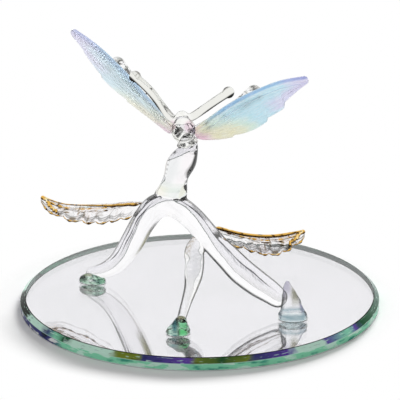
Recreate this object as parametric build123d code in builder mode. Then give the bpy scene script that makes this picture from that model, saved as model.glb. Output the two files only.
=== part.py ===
"""Glass butterfly on a three-footed glass branch, fixed to a round bevelled mirror.

The origin is the centre of the mirror's underside, +Z is up and -Y is the front. Every piece is one
solid. Places on the branch and the butterfly are shares of the named sizes that they follow.
"""

import os
from math import cos, radians, sin, tan

from build123d import *

# Mirror base
mirror_diameter = 101.6
glass_thickness = 3.0
bevel_width = 1.5
bevel_drop = 1.2
silvering_thickness = 0.1
backing_thickness = 0.15

# Branch: reach and depth are measured from the mirror's centre, height from its face
arch_reach = 31.0
arch_depth = 20.0
arch_height = 28.5
rod_radius = 3.5
front_leg_radius = 2.7

# Feet and the adhesive film under them
adhesive_thickness = 0.15
left_foot_length = 8.2
left_foot_width = 5.2
left_foot_height = 1.9
left_foot_heading = -20.0
right_foot_length = 8.2
right_foot_width = 6.6
right_foot_height = 9.4
front_foot_length = 6.6
front_foot_width = 5.2
front_foot_height = 3.4

# Upright stub and the bead collar on it
stem_height = 16.7
stem_radius = 4.1
collar_height = 3.2
collar_radius = 2.2
collar_bead_radius = 0.85
collar_bead_count = 7

# Leaves: length is in plan, half width from ridge to the longest scallop
left_leaf_length = 42.0
left_leaf_half_width = 4.7
left_leaf_drop = 6.5
left_leaf_heading = 138.8
right_leaf_length = 29.7
right_leaf_half_width = 4.2
right_leaf_drop = 6.0
right_leaf_heading = 27.0
leaf_ridge_radius = 0.95
leaf_edge_thickness = 0.9
leaf_back_share = 0.55
leaf_front_slope = 40.0
gilding_thickness = 0.2
gilding_edge_width = 0.8
gilding_ridge_width = 1.3
gilding_start = 2.2

# Butterfly
thorax_radius = 3.3
thorax_length = 7.2
thorax_pitch = 20.0
head_radius = 1.9
abdomen_radius = 2.0
abdomen_length = 10.6
antenna_radius = 1.15
antenna_knob_radius = 1.6
antenna_reach = 11.6
wing_nose_radius = 1.15
wing_edge_thickness = 0.9
forewing_chord = 14.0
forewing_sweep = 8.0
left_forewing_span = 37.4
left_forewing_lift = 42.8
left_forewing_tilt = 43.0
right_forewing_span = 32.9
right_forewing_lift = 21.6
right_forewing_tilt = 30.0
hindwing_chord = 12.0
hindwing_tip_radius = 1.9
hindwing_tilt = 62.0
left_hindwing_span = 25.6
left_hindwing_lift = 38.5
left_hindwing_sweep = 33.0
right_hindwing_span = 21.8
right_hindwing_lift = 21.5
right_hindwing_sweep = 31.0

# Heights that follow from the base
glass_bottom = backing_thickness + silvering_thickness
mirror_face = glass_bottom + glass_thickness
foot_bottom = mirror_face + adhesive_thickness

# Stations of the arch from the left ankle over the crown to the right knee:
# x, y, height and radius, as shares of reach, depth, height and rod radius
arch_station_shares = [
    (-1.000, 0.430, 0.080, 0.49),
    (-0.870, 0.330, 0.137, 0.66),
    (-0.755, 0.210, 0.242, 0.80),
    (-0.668, 0.090, 0.388, 0.91),
    (-0.587, -0.020, 0.558, 0.97),
    (-0.523, -0.120, 0.709, 0.97),
    (-0.448, -0.225, 0.853, 1.00),
    (-0.374, -0.335, 0.954, 0.99),
    (-0.277, -0.455, 1.000, 0.96),
    (-0.161, -0.585, 0.982, 0.94),
    (-0.052, -0.705, 0.905, 0.93),
    (0.048, -0.795, 0.796, 0.92),
    (0.148, -0.860, 0.674, 0.93),
    (0.255, -0.900, 0.558, 1.00),
    (0.368, -0.930, 0.432, 1.06),
    (0.503, -0.955, 0.316, 1.03),
    (0.606, -0.980, 0.242, 0.94),
    (0.684, -1.005, 0.182, 0.83),
]
left_leg_end, crown_middle, right_leg_start = 6, 8, 10

# Stations of the front leg below its joint, in the same shares, radius as a share of its own
front_leg_station_shares = [
    (0.048, -0.795, 0.770, 0.80),
    (-0.039, -0.815, 0.621, 1.00),
    (-0.042, -0.880, 0.516, 0.98),
    (-0.052, -0.975, 0.407, 0.92),
    (-0.077, -1.100, 0.309, 0.70),
    (-0.110, -1.250, 0.228, 0.56),
    (-0.142, -1.415, 0.151, 0.49),
    (-0.163, -1.560, 0.102, 0.46),
]

# Stub: height above the crown's middle as a share of its height, lean to the right and forward as
# shares of its height, half width along the arch and across it as shares of its radius
stem_station_shares = [
    (0.03, 0.030, -0.010, 1.32, 0.61),
    (0.19, 0.054, -0.015, 1.22, 0.76),
    (0.31, 0.090, -0.020, 1.02, 0.83),
    (0.44, 0.126, -0.030, 0.86, 0.84),
    (0.57, 0.180, -0.040, 0.92, 0.92),
    (0.70, 0.222, -0.055, 1.01, 1.00),
    (0.83, 0.263, -0.066, 0.94, 0.94),
    (0.93, 0.311, -0.072, 0.78, 0.78),
    (1.00, 0.347, -0.078, 0.63, 0.63),
]

# Foot stations: height as a share of the foot's height, shift towards the leg's end and size as shares
left_foot_station_shares = [(0.00, 0.00, 0.96), (0.25, 0.00, 1.00), (0.65, 0.10, 0.90), (1.00, 0.20, 0.62)]
right_foot_station_shares = [
    (0.00, 0.00, 0.96),
    (0.11, 0.00, 1.00),
    (0.20, 0.10, 0.86),
    (0.48, 0.40, 0.68),
    (0.74, 0.75, 0.45),
    (0.90, 0.93, 0.27),
    (1.00, 1.00, 0.14),
]
front_foot_station_shares = [(0.00, 0.00, 0.97), (0.22, 0.05, 1.00), (0.60, 0.45, 0.72), (1.00, 0.95, 0.46)]

# Shift of each footprint's centre, and of the cone's top, from the leg's end, as shares of the foot's length
left_foot_shift_shares = (0.02, -0.22, 0)
right_foot_shift_shares = (0.50, -0.30, 0)
right_foot_top_shares = (0.32, 0.01, 0)
front_foot_shift_shares = (-0.12, -0.25, 0)

# Leaf roots: shift from the leg's line as shares of the rod's radius
left_leaf_root_shares = (-0.20, 0.30, 0.60)
right_leaf_root_shares = (0.40, 0.40, 0.17)

# Leaf sections: share of the length, of the half width, sag as a share of the drop, back slope share
left_leaf_section_shares = [
    (0.00, 0.45, 0.00, 0.1),
    (0.12, 0.90, 0.12, 0.1),
    (0.28, 1.15, 0.40, 0.3),
    (0.45, 1.12, 0.68, 0.7),
    (0.65, 0.90, 0.97, 0.9),
    (0.85, 0.62, 1.10, 1.0),
    (1.00, 0.30, 1.00, 1.0),
]
right_leaf_section_shares = [
    (0.00, 0.55, 0.00, 0.0),
    (0.15, 0.90, 0.30, 0.1),
    (0.30, 1.00, 0.60, 0.3),
    (0.48, 1.20, 0.86, 0.6),
    (0.66, 1.15, 1.02, 0.9),
    (0.84, 0.80, 1.05, 1.0),
    (1.00, 0.30, 1.00, 1.0),
]

# Corners between a leaf's scallops: share of the length and of the half width
left_leaf_corner_shares = [(0.00, 0.40), (0.06, 0.62), (0.155, 0.78), (0.25, 0.88), (0.38, 0.88)]
left_leaf_corner_shares += [(0.52, 0.77), (0.73, 0.56), (1.02, 0.10)]
right_leaf_corner_shares = [(0.00, 0.45), (0.03, 0.56), (0.17, 0.66), (0.30, 0.66), (0.42, 0.82)]
right_leaf_corner_shares += [(0.55, 0.92), (0.70, 0.80), (0.83, 0.54), (1.02, 0.08)]
scallop_bulge_share = 0.16

# Places of thorax, head and wing roots as shares of the thorax's radius: the thorax from the stub's
# top, the others from the thorax's centre
thorax_shift_shares = (-0.39, -0.06, 1.46)
head_shift_shares = (-0.09, -0.42, 1.15)
left_forewing_root_shares = (-0.61, 0.18, 0.05)
right_forewing_root_shares = (0.79, 0.18, -0.05)
left_hindwing_root_shares = (-0.30, 1.05, -0.35)
right_hindwing_root_shares = (0.55, 1.05, -0.35)

# Height of the bead ring as a share of the collar's height
bead_rise_share = 0.40

# Abdomen: share of its length to the back and up, and radius share
abdomen_station_shares = [(0.10, -0.02, 0.95), (0.40, -0.14, 1.05), (0.72, -0.29, 0.88), (1.00, -0.42, 0.55)]

# Forewing sections: share of the span, front edge and hem as shares of the chord, nose radius share
left_forewing_section_shares = [
    (0.00, 0.02, 0.55, 1.00),
    (0.12, -0.04, 0.70, 1.10),
    (0.30, -0.09, 0.74, 1.10),
    (0.49, -0.23, 0.72, 1.05),
    (0.64, -0.28, 0.68, 1.00),
    (0.80, -0.29, 0.44, 0.95),
    (1.00, -0.14, 0.12, 0.90),
]
right_forewing_section_shares = [
    (0.00, 0.02, 0.45, 1.00),
    (0.16, -0.11, 0.66, 1.10),
    (0.32, -0.23, 0.76, 1.10),
    (0.49, -0.30, 0.80, 1.05),
    (0.64, -0.31, 0.70, 1.00),
    (0.81, -0.28, 0.46, 0.98),
    (1.00, -0.13, 0.12, 0.95),
]

# Hem lobes of the forewings: start, crest and end, as shares of span and chord
left_forewing_lobe_shares = [
    ((-0.06, 0.34), (0.14, 0.44), (0.385, 0.59)),
    ((0.400, 0.53), (0.52, 0.59), (0.635, 0.57)),
    ((0.655, 0.50), (0.76, 0.40), (0.860, 0.26)),
    ((0.865, 0.22), (0.94, 0.12), (1.050, 0.02)),
]
right_forewing_lobe_shares = [
    ((-0.06, 0.16), (0.12, 0.48), (0.285, 0.64)),
    ((0.305, 0.60), (0.45, 0.68), (0.600, 0.61)),
    ((0.615, 0.52), (0.69, 0.50), (0.770, 0.45)),
    ((0.790, 0.30), (0.90, 0.17), (1.050, 0.02)),
]

# Hindwings share one shape: a root that dips behind the forewing and a round tip
hindwing_section_shares = [
    (0.00, 0.06, 0.46, 0.62),
    (0.25, 0.22, 0.84, 0.64),
    (0.50, 0.27, 1.04, 0.66),
    (0.75, 0.18, 0.96, 0.76),
    (1.00, -0.16, 0.30, 1.00),
]
hindwing_lobe_shares = [
    ((-0.08, 0.30), (0.14, 0.62), (0.300, 0.74)),
    ((0.315, 0.69), (0.48, 0.92), (0.640, 0.90)),
    ((0.660, 0.82), (0.85, 0.66), (1.080, 0.20)),
]

# Antennae: shift of the root from the head's centre as shares of the head's radius, then stations as
# shares of the reach to the side, to the back and up
left_antenna_root_shares = (-1.30, 0.10, -0.20)
right_antenna_root_shares = (1.15, 0.10, 0.00)
left_antenna_station_shares = [(0, 0, 0), (0.24, -0.10, 0.31), (0.51, -0.12, 0.69), (0.86, -0.04, 1.02)]
right_antenna_station_shares = [(0, 0, 0), (0.28, -0.09, 0.20), (0.57, -0.10, 0.41), (0.88, -0.04, 0.60)]

os.makedirs("parts", exist_ok=True)


def ring_planes(points, beside):
    """One plane square to the path at each of its points, turned alike about the path."""
    planes = []
    for index, point in enumerate(points):
        before = points[max(index - 1, 0)]
        after = points[min(index + 1, len(points) - 1)]
        along = (after - before).normalized()
        across = beside - along * beside.dot(along)
        planes.append(Plane(origin=point, x_dir=across, z_dir=along))
    return planes


def rod_rings(points, radii, beside=Vector(0, 1, 0)):
    """Circles square to a rod's path, for one loft."""
    rings = []
    for plane, radius in zip(ring_planes(points, beside), radii):
        with BuildSketch(plane) as ring:
            Circle(radius)
        rings.append(ring.sketch)
    return rings


def foot_rings(centre, ankle, length, width, height, heading, station_shares):
    """Level ellipses of a foot that leans from its footprint's centre towards the ankle."""
    rings = []
    for height_share, shift_share, size_share in station_shares:
        place = centre + (ankle - centre) * shift_share
        level = foot_bottom + height * height_share
        turned = Vector(1, 0, 0).rotate(Axis.Z, heading)
        with BuildSketch(Plane(origin=(place.X, place.Y, level), x_dir=turned, z_dir=(0, 0, 1))) as ring:
            Ellipse(length / 2 * size_share, width / 2 * size_share)
        rings.append(ring.sketch)
    return rings


def film_plane(centre, heading):
    """Plane on the mirror's face under a foot."""
    turned = Vector(1, 0, 0).rotate(Axis.Z, heading)
    return Plane(origin=(centre.X, centre.Y, mirror_face), x_dir=turned, z_dir=(0, 0, 1))


def branch_point(shares):
    """Place on the branch from its shares of reach, depth and height."""
    return Vector(arch_reach * shares[0], arch_depth * shares[1], mirror_face + arch_height * shares[2])


def wing_plane(root, side, lift, sweep, tilt):
    """Plane of a wing: x runs from root to tip, y from the front edge to the hem."""
    lifted, swept, tilted = radians(lift), radians(sweep), radians(tilt)
    span_way = Vector(side * cos(lifted) * cos(swept), cos(lifted) * sin(swept), sin(lifted))
    hem_way = Vector(0, sin(tilted), -cos(tilted))
    return Plane(origin=root, x_dir=span_way, z_dir=span_way.cross(hem_way))


def wing_sections(wing, span, chord, nose_radius, section_shares):
    """Drop-shaped sections of a wing, square to its span, for one loft."""
    sections = []
    edge = wing_edge_thickness / 2
    for span_share, front_share, hem_share, nose_share in section_shares:
        nose = nose_radius * nose_share
        front, hem = chord * front_share, chord * hem_share
        place = wing.from_local_coords(Vector(span * span_share, 0, 0))
        with BuildSketch(Plane(origin=place, x_dir=wing.y_dir, z_dir=wing.x_dir)) as section:
            with BuildLine():
                ThreePointArc((front + nose, -nose), (front, 0), (front + nose, nose))
                Line((front + nose, nose), (hem, edge))
                ThreePointArc((hem, edge), (hem + edge, 0), (hem, -edge))
                Line((hem, -edge), (front + nose, -nose))
            make_face()
        sections.append(section.sketch)
    return sections


def wing_outline(wing, span, chord, lobe_shares):
    """Outline that trims a wing's hem to its lobes and leaves the front edge free."""
    lobes = [[(span * along, chord * across) for along, across in lobe] for lobe in lobe_shares]
    root, tip = lobes[0][0], lobes[-1][-1]
    with BuildSketch(wing) as outline:
        with BuildLine():
            for index, (start, crest, end) in enumerate(lobes):
                ThreePointArc(start, crest, end)
                if index:
                    Line(lobes[index - 1][-1], start)
            Polyline(tip, (tip[0], -chord), (root[0], -chord), root)
        make_face()
    return outline.sketch


def leaf_plane(root, heading):
    """Level plane of a leaf: x runs from root to tip, y to the back."""
    return Plane(origin=root, x_dir=Vector(1, 0, 0).rotate(Axis.Z, heading), z_dir=(0, 0, 1))


def leaf_sections(leaf, front, length, half_width, drop, section_shares):
    """Roof-shaped sections of a leaf, square to its ridge in plan, for one loft."""
    sections = []
    edge = leaf_edge_thickness / 2
    front_fall = tan(radians(leaf_front_slope))
    for along_share, width_share, sag_share, back_share in section_shares:
        width = half_width * width_share
        place = leaf.from_local_coords(Vector(length * along_share, 0, -drop * sag_share))
        front_edge = -width * front_fall
        back_edge = front_edge * back_share * leaf_back_share
        points = [
            (0, leaf_ridge_radius),
            (front * width, front_edge + edge),
            (front * width, front_edge - edge),
            (0, -leaf_ridge_radius),
            (-front * width * leaf_back_share, back_edge - edge),
            (-front * width * leaf_back_share, back_edge + edge),
        ]
        with BuildSketch(Plane(origin=place, x_dir=leaf.y_dir, z_dir=leaf.x_dir)) as section:
            with BuildLine():
                Polyline(*points, close=True)
            make_face()
        sections.append(section.sketch)
    return sections


def leaf_outline(leaf, front, length, half_width, inset, corner_shares):
    """Plan of a leaf with scallops on both sides, drawn in by an inset from hem and tip."""
    reach, breadth = length - inset, half_width - inset
    corners = [(reach * along, front * breadth * across) for along, across in corner_shares]
    bulge = front * half_width * scallop_bulge_share
    back = -leaf_back_share
    with BuildSketch(leaf) as outline:
        with BuildLine():
            for start, end in zip(corners, corners[1:]):
                SagittaArc(start, end, bulge)
                SagittaArc((start[0], start[1] * back), (end[0], end[1] * back), bulge * back)
            Line(corners[0], (corners[0][0], corners[0][1] * back))
            Line(corners[-1], (corners[-1][0], corners[-1][1] * back))
        make_face()
    return outline.sketch


# Mirror glass, turned so that the top edge carries the bevel
mirror_radius = mirror_diameter / 2
with BuildPart() as mirror_glass:
    with BuildSketch(Plane.XZ):
        with BuildLine():
            Polyline(
                (0, glass_bottom),
                (mirror_radius, glass_bottom),
                (mirror_radius, mirror_face - bevel_drop),
                (mirror_radius - bevel_width, mirror_face),
                (0, mirror_face),
                close=True,
            )
        make_face()
    revolve(axis=Axis.Z)

# Reflecting layer and protective film under the glass
with BuildPart() as mirror_silvering:
    with BuildSketch(Plane.XY.offset(backing_thickness)):
        Circle(mirror_radius)
    extrude(amount=silvering_thickness)

with BuildPart() as mirror_backing:
    with BuildSketch(Plane.XY):
        Circle(mirror_radius)
    extrude(amount=backing_thickness)

# Arch: both legs and the crown share their end rings, so they meet face to face
arch_points = [branch_point(row) for row in arch_station_shares]
arch_radii = [rod_radius * row[3] for row in arch_station_shares]
arch_rings = rod_rings(arch_points, arch_radii)
left_ankle, crown, right_knee = arch_points[0], arch_points[crown_middle], arch_points[-1]

with BuildPart() as left_leg:
    loft(arch_rings[: left_leg_end + 1])
    with Locations(left_ankle):
        Sphere(arch_radii[0])

with BuildPart() as branch_crown:
    loft(arch_rings[left_leg_end : crown_middle + 1])
    loft(arch_rings[crown_middle : right_leg_start + 1])

with BuildPart() as right_leg:
    loft(arch_rings[right_leg_start:])

# Front leg, cut where it is fused under the arch
front_leg_points = [branch_point(row) for row in front_leg_station_shares]
front_leg_radii = [front_leg_radius * row[3] for row in front_leg_station_shares]
with BuildPart() as front_leg:
    loft(rod_rings(front_leg_points, front_leg_radii, beside=Vector(1, 0, 0)))
    add(right_leg.part, mode=Mode.SUBTRACT)
    add(branch_crown.part, mode=Mode.SUBTRACT)

# Feet, each cut by the leg that ends in it, and the adhesive film under each
left_foot_centre = left_ankle + Vector(*left_foot_shift_shares) * left_foot_length
with BuildPart() as left_foot:
    loft(
        foot_rings(
            left_foot_centre, left_ankle, left_foot_length, left_foot_width, left_foot_height,
            left_foot_heading, left_foot_station_shares,
        )
    )
    add(left_leg.part, mode=Mode.SUBTRACT)

right_foot_centre = right_knee + Vector(*right_foot_shift_shares) * right_foot_length
right_foot_top = right_knee + Vector(*right_foot_top_shares) * right_foot_length
with BuildPart() as right_foot:
    loft(
        foot_rings(
            right_foot_centre, right_foot_top, right_foot_length, right_foot_width, right_foot_height,
            0, right_foot_station_shares,
        )
    )
    add(right_leg.part, mode=Mode.SUBTRACT)

front_foot_centre = front_leg_points[-1] + Vector(*front_foot_shift_shares) * front_foot_length
with BuildPart() as front_foot:
    loft(
        foot_rings(
            front_foot_centre, front_leg_points[-1], front_foot_length, front_foot_width,
            front_foot_height, 0, front_foot_station_shares,
        )
    )
    add(front_leg.part, mode=Mode.SUBTRACT)

with BuildPart() as left_foot_adhesive:
    with BuildSketch(film_plane(left_foot_centre, left_foot_heading)):
        Ellipse(left_foot_length / 2, left_foot_width / 2)
    extrude(amount=adhesive_thickness)

with BuildPart() as right_foot_adhesive:
    with BuildSketch(film_plane(right_foot_centre, 0)):
        Ellipse(right_foot_length / 2, right_foot_width / 2)
    extrude(amount=adhesive_thickness)

with BuildPart() as front_foot_adhesive:
    with BuildSketch(film_plane(front_foot_centre, 0)):
        Ellipse(front_foot_length / 2, front_foot_width / 2)
    extrude(amount=adhesive_thickness)

# Upright stub: its flared end sits over the crown like a saddle
arch_way = arch_points[crown_middle + 1] - arch_points[crown_middle - 1]
saddle_way = Vector(arch_way.X, arch_way.Y, 0)
stem_points, stem_rings = [], []
for rise_share, lean_share, forward_share, along_share, across_share in stem_station_shares:
    place = crown + Vector(lean_share, forward_share, rise_share) * stem_height
    with BuildSketch(Plane(origin=place, x_dir=saddle_way, z_dir=(0, 0, 1))) as ring:
        Ellipse(stem_radius * along_share, stem_radius * across_share)
    stem_points.append(place)
    stem_rings.append(ring.sketch)

with BuildPart() as branch_stem:
    loft(stem_rings)
    add(branch_crown.part, mode=Mode.SUBTRACT)

# Thorax, an upright egg above the stub, leaning back from the stub's own line
perch = stem_points[-1]
thorax_centre = perch + Vector(*thorax_shift_shares) * thorax_radius
thorax_axis = Vector(0, sin(radians(thorax_pitch)), cos(radians(thorax_pitch)))
thorax_plane = Plane(origin=thorax_centre, x_dir=(1, 0, 0), z_dir=Vector(1, 0, 0).cross(thorax_axis))
with BuildPart() as thorax:
    with BuildSketch(thorax_plane):
        with BuildLine():
            EllipticalCenterArc((0, 0), thorax_radius, thorax_length / 2, start_angle=-90, arc_size=180)
            Line((0, thorax_length / 2), (0, -thorax_length / 2))
        make_face()
    revolve(axis=Axis(thorax_centre, thorax_axis))

head_centre = thorax_centre + Vector(*head_shift_shares) * thorax_radius
with BuildPart() as head:
    with Locations(head_centre):
        Sphere(head_radius)
    add(thorax.part, mode=Mode.SUBTRACT)

# Abdomen, a tapering rod behind the thorax that hangs a little
abdomen_points, abdomen_radii = [], []
for back_share, rise_share, radius_share in abdomen_station_shares:
    abdomen_points.append(thorax_centre + Vector(0, back_share, rise_share) * abdomen_length)
    abdomen_radii.append(abdomen_radius * radius_share)
with BuildPart() as abdomen:
    loft(rod_rings(abdomen_points, abdomen_radii, beside=Vector(1, 0, 0)))
    with Locations(abdomen_points[-1]):
        Sphere(abdomen_radii[-1])
    add(thorax.part, mode=Mode.SUBTRACT)

# Antennae
left_antenna_root = head_centre + Vector(*left_antenna_root_shares) * head_radius
right_antenna_root = head_centre + Vector(*right_antenna_root_shares) * head_radius


def shape_antenna(root, side, station_shares):
    """Rod from the head's side to a round knob, cut by head and thorax."""
    points = [root + Vector(side * out, back, up) * antenna_reach for out, back, up in station_shares]
    loft(rod_rings(points, [antenna_radius] * len(points)))
    with Locations(ring_planes(points, Vector(0, 1, 0))[-1]):
        Sphere(antenna_knob_radius)
    add(thorax.part, mode=Mode.SUBTRACT)
    add(head.part, mode=Mode.SUBTRACT)


with BuildPart() as left_antenna:
    shape_antenna(left_antenna_root, -1, left_antenna_station_shares)

with BuildPart() as right_antenna:
    shape_antenna(right_antenna_root, 1, right_antenna_station_shares)


def shape_wing(wing, span, chord, nose_radius, section_shares, lobe_shares, neighbours):
    """Blade with a trimmed hem and a round rod end at its tip, cut by the pieces that it meets."""
    loft(wing_sections(wing, span, chord, nose_radius, section_shares))
    extrude(wing_outline(wing, span, chord, lobe_shares), amount=chord, both=True, mode=Mode.INTERSECT)
    _, front_share, _, nose_share = section_shares[-1]
    tip_radius = nose_radius * nose_share
    with Locations(wing.from_local_coords(Vector(span, chord * front_share + tip_radius, 0))):
        Sphere(tip_radius)
    for neighbour in neighbours:
        add(neighbour.part, mode=Mode.SUBTRACT)


# Forewings, rooted in the sides of the thorax
left_forewing_root = thorax_centre + Vector(*left_forewing_root_shares) * thorax_radius
right_forewing_root = thorax_centre + Vector(*right_forewing_root_shares) * thorax_radius
left_wing = wing_plane(left_forewing_root, -1, left_forewing_lift, forewing_sweep, left_forewing_tilt)
right_wing = wing_plane(right_forewing_root, 1, right_forewing_lift, forewing_sweep, right_forewing_tilt)

with BuildPart() as left_forewing:
    shape_wing(
        left_wing, left_forewing_span, forewing_chord, wing_nose_radius,
        left_forewing_section_shares, left_forewing_lobe_shares, [thorax],
    )

with BuildPart() as right_forewing:
    shape_wing(
        right_wing, right_forewing_span, forewing_chord, wing_nose_radius,
        right_forewing_section_shares, right_forewing_lobe_shares, [thorax],
    )

# Hindwings, behind the forewings
left_hindwing_root = thorax_centre + Vector(*left_hindwing_root_shares) * thorax_radius
right_hindwing_root = thorax_centre + Vector(*right_hindwing_root_shares) * thorax_radius
left_hind = wing_plane(left_hindwing_root, -1, left_hindwing_lift, left_hindwing_sweep, hindwing_tilt)
right_hind = wing_plane(right_hindwing_root, 1, right_hindwing_lift, right_hindwing_sweep, hindwing_tilt)

with BuildPart() as left_hindwing:
    shape_wing(
        left_hind, left_hindwing_span, hindwing_chord, hindwing_tip_radius,
        hindwing_section_shares, hindwing_lobe_shares, [thorax, abdomen, left_forewing],
    )

with BuildPart() as right_hindwing:
    shape_wing(
        right_hind, right_hindwing_span, hindwing_chord, hindwing_tip_radius,
        hindwing_section_shares, hindwing_lobe_shares, [thorax, abdomen, right_forewing, left_hindwing],
    )

# Bead collar between stub and thorax
collar_way = (thorax_centre - perch).normalized()
collar_plane = Plane(origin=perch, x_dir=(1, 0, 0), z_dir=collar_way)
with BuildPart() as perch_collar:
    with BuildSketch(collar_plane):
        Circle(collar_radius)
    extrude(amount=collar_height)
    with Locations(collar_plane.offset(collar_height * bead_rise_share)):
        with PolarLocations(collar_radius, collar_bead_count):
            Sphere(collar_bead_radius)
    for neighbour in (branch_stem, thorax, abdomen, left_forewing, right_forewing):
        add(neighbour.part, mode=Mode.SUBTRACT)


def shape_leaf(leaf, front, length, half_width, drop, section_shares, corner_shares):
    """Roof-shaped leaf trimmed to its scallops."""
    loft(leaf_sections(leaf, front, length, half_width, drop, section_shares))
    trim = leaf_outline(leaf, front, length, half_width, 0, corner_shares)
    extrude(trim, amount=length, both=True, mode=Mode.INTERSECT)


def gilded_block(leaf, front, length, half_width, corner_shares):
    """Upright block over the parts of a leaf's plan that carry gold: its ridge and both hems."""
    with BuildPart() as block:
        extrude(leaf_outline(leaf, front, length, half_width, 0, corner_shares), amount=length, both=True)
        bare = leaf_outline(leaf, front, length, half_width, gilding_edge_width, corner_shares)
        extrude(bare, amount=length, both=True, mode=Mode.SUBTRACT)
        with BuildSketch(leaf):
            with Locations((length / 2, 0)):
                Rectangle(length, gilding_ridge_width)
        extrude(amount=length, both=True)
        with BuildSketch(leaf):
            Rectangle(2 * gilding_start, 4 * half_width)
        extrude(amount=length, both=True, mode=Mode.SUBTRACT)
    return block.part


# Leaves, fused to the legs
left_leaf_root = arch_points[left_leg_end] + Vector(*left_leaf_root_shares) * rod_radius
right_leaf_root = arch_points[right_leg_start + 1] + Vector(*right_leaf_root_shares) * rod_radius
left_leaf_plane = leaf_plane(left_leaf_root, left_leaf_heading)
right_leaf_plane = leaf_plane(right_leaf_root, right_leaf_heading)

with BuildPart() as left_leaf:
    shape_leaf(
        left_leaf_plane, 1, left_leaf_length, left_leaf_half_width, left_leaf_drop,
        left_leaf_section_shares, left_leaf_corner_shares,
    )
    left_leaf_blank = left_leaf.part
    add(left_leg.part, mode=Mode.SUBTRACT)
    add(branch_crown.part, mode=Mode.SUBTRACT)

with BuildPart() as right_leaf:
    shape_leaf(
        right_leaf_plane, -1, right_leaf_length, right_leaf_half_width, right_leaf_drop,
        right_leaf_section_shares, right_leaf_corner_shares,
    )
    right_leaf_blank = right_leaf.part
    add(right_leg.part, mode=Mode.SUBTRACT)

# Gilding, a skin on top of each leaf
with BuildPart() as left_leaf_gilding:
    add(left_leaf_blank.moved(Location((0, 0, gilding_thickness))))
    add(
        gilded_block(left_leaf_plane, 1, left_leaf_length, left_leaf_half_width, left_leaf_corner_shares),
        mode=Mode.INTERSECT,
    )
    add(left_leaf_blank, mode=Mode.SUBTRACT)
    add(left_leg.part, mode=Mode.SUBTRACT)

with BuildPart() as right_leaf_gilding:
    add(right_leaf_blank.moved(Location((0, 0, gilding_thickness))))
    add(
        gilded_block(right_leaf_plane, -1, right_leaf_length, right_leaf_half_width, right_leaf_corner_shares),
        mode=Mode.INTERSECT,
    )
    add(right_leaf_blank, mode=Mode.SUBTRACT)
    add(right_leg.part, mode=Mode.SUBTRACT)

pieces = {
    "mirror_glass": mirror_glass,
    "mirror_silvering": mirror_silvering,
    "mirror_backing": mirror_backing,
    "left_leg": left_leg,
    "branch_crown": branch_crown,
    "right_leg": right_leg,
    "front_leg": front_leg,
    "left_foot": left_foot,
    "right_foot": right_foot,
    "front_foot": front_foot,
    "left_foot_adhesive": left_foot_adhesive,
    "right_foot_adhesive": right_foot_adhesive,
    "front_foot_adhesive": front_foot_adhesive,
    "branch_stem": branch_stem,
    "perch_collar": perch_collar,
    "thorax": thorax,
    "head": head,
    "abdomen": abdomen,
    "left_antenna": left_antenna,
    "right_antenna": right_antenna,
    "left_forewing": left_forewing,
    "right_forewing": right_forewing,
    "left_hindwing": left_hindwing,
    "right_hindwing": right_hindwing,
    "left_leaf": left_leaf,
    "right_leaf": right_leaf,
    "left_leaf_gilding": left_leaf_gilding,
    "right_leaf_gilding": right_leaf_gilding,
}
for name, piece in pieces.items():
    piece.part.label = name
    export_step(piece.part, f"parts/{name}.step")
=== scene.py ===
"""Glass butterfly on a footed glass branch over a round bevelled mirror, with its stage."""

import math

import bmesh
import bpy
import numpy as np
from mathutils import Matrix, Vector, kdtree


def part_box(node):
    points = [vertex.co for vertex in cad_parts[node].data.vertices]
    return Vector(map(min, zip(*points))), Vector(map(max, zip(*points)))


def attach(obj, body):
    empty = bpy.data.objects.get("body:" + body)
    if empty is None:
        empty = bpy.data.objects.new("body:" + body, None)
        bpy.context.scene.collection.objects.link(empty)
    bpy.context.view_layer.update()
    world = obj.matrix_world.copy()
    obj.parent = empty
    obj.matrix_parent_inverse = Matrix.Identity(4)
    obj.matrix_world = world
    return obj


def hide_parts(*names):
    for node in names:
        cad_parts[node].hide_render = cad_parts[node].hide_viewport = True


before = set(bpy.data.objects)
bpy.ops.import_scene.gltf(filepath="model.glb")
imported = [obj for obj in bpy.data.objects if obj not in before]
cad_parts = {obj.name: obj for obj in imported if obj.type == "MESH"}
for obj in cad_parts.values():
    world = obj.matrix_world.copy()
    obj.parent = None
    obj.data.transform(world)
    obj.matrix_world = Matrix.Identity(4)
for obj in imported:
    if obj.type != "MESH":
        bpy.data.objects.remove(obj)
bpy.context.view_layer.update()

bl_info = {
    "name": "Glass butterfly ornament",
    "version": (1, 0, 0),
    "blender": (4, 5, 0),
    "location": "3D View > Sidebar > Ornament",
    "description": "Builds a lampworked glass butterfly, its branch, leaves and mirror, and the stage",
    "category": "Add Mesh",
}

MM = 0.001
BODY = "root"

# Stations of the arch from the left ankle over the crown to the right knee:
# x, y, height and radius, as shares of reach, depth, height and rod radius
ARCH_STATIONS = [
    (-1.000, 0.430, 0.080, 0.49),
    (-0.870, 0.330, 0.137, 0.66),
    (-0.755, 0.210, 0.242, 0.80),
    (-0.668, 0.090, 0.388, 0.91),
    (-0.587, -0.020, 0.558, 0.97),
    (-0.523, -0.120, 0.709, 0.97),
    (-0.448, -0.225, 0.853, 1.00),
    (-0.374, -0.335, 0.954, 0.99),
    (-0.277, -0.455, 1.000, 0.96),
    (-0.161, -0.585, 0.982, 0.94),
    (-0.052, -0.705, 0.905, 0.93),
    (0.048, -0.795, 0.796, 0.92),
    (0.148, -0.860, 0.674, 0.93),
    (0.255, -0.900, 0.558, 1.00),
    (0.368, -0.930, 0.432, 1.06),
    (0.503, -0.955, 0.316, 1.03),
    (0.606, -0.980, 0.242, 0.94),
    (0.684, -1.005, 0.182, 0.83),
]
LEFT_LEAF_STATION, CROWN_STATION, RIGHT_LEAF_STATION = 6, 8, 11

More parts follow.
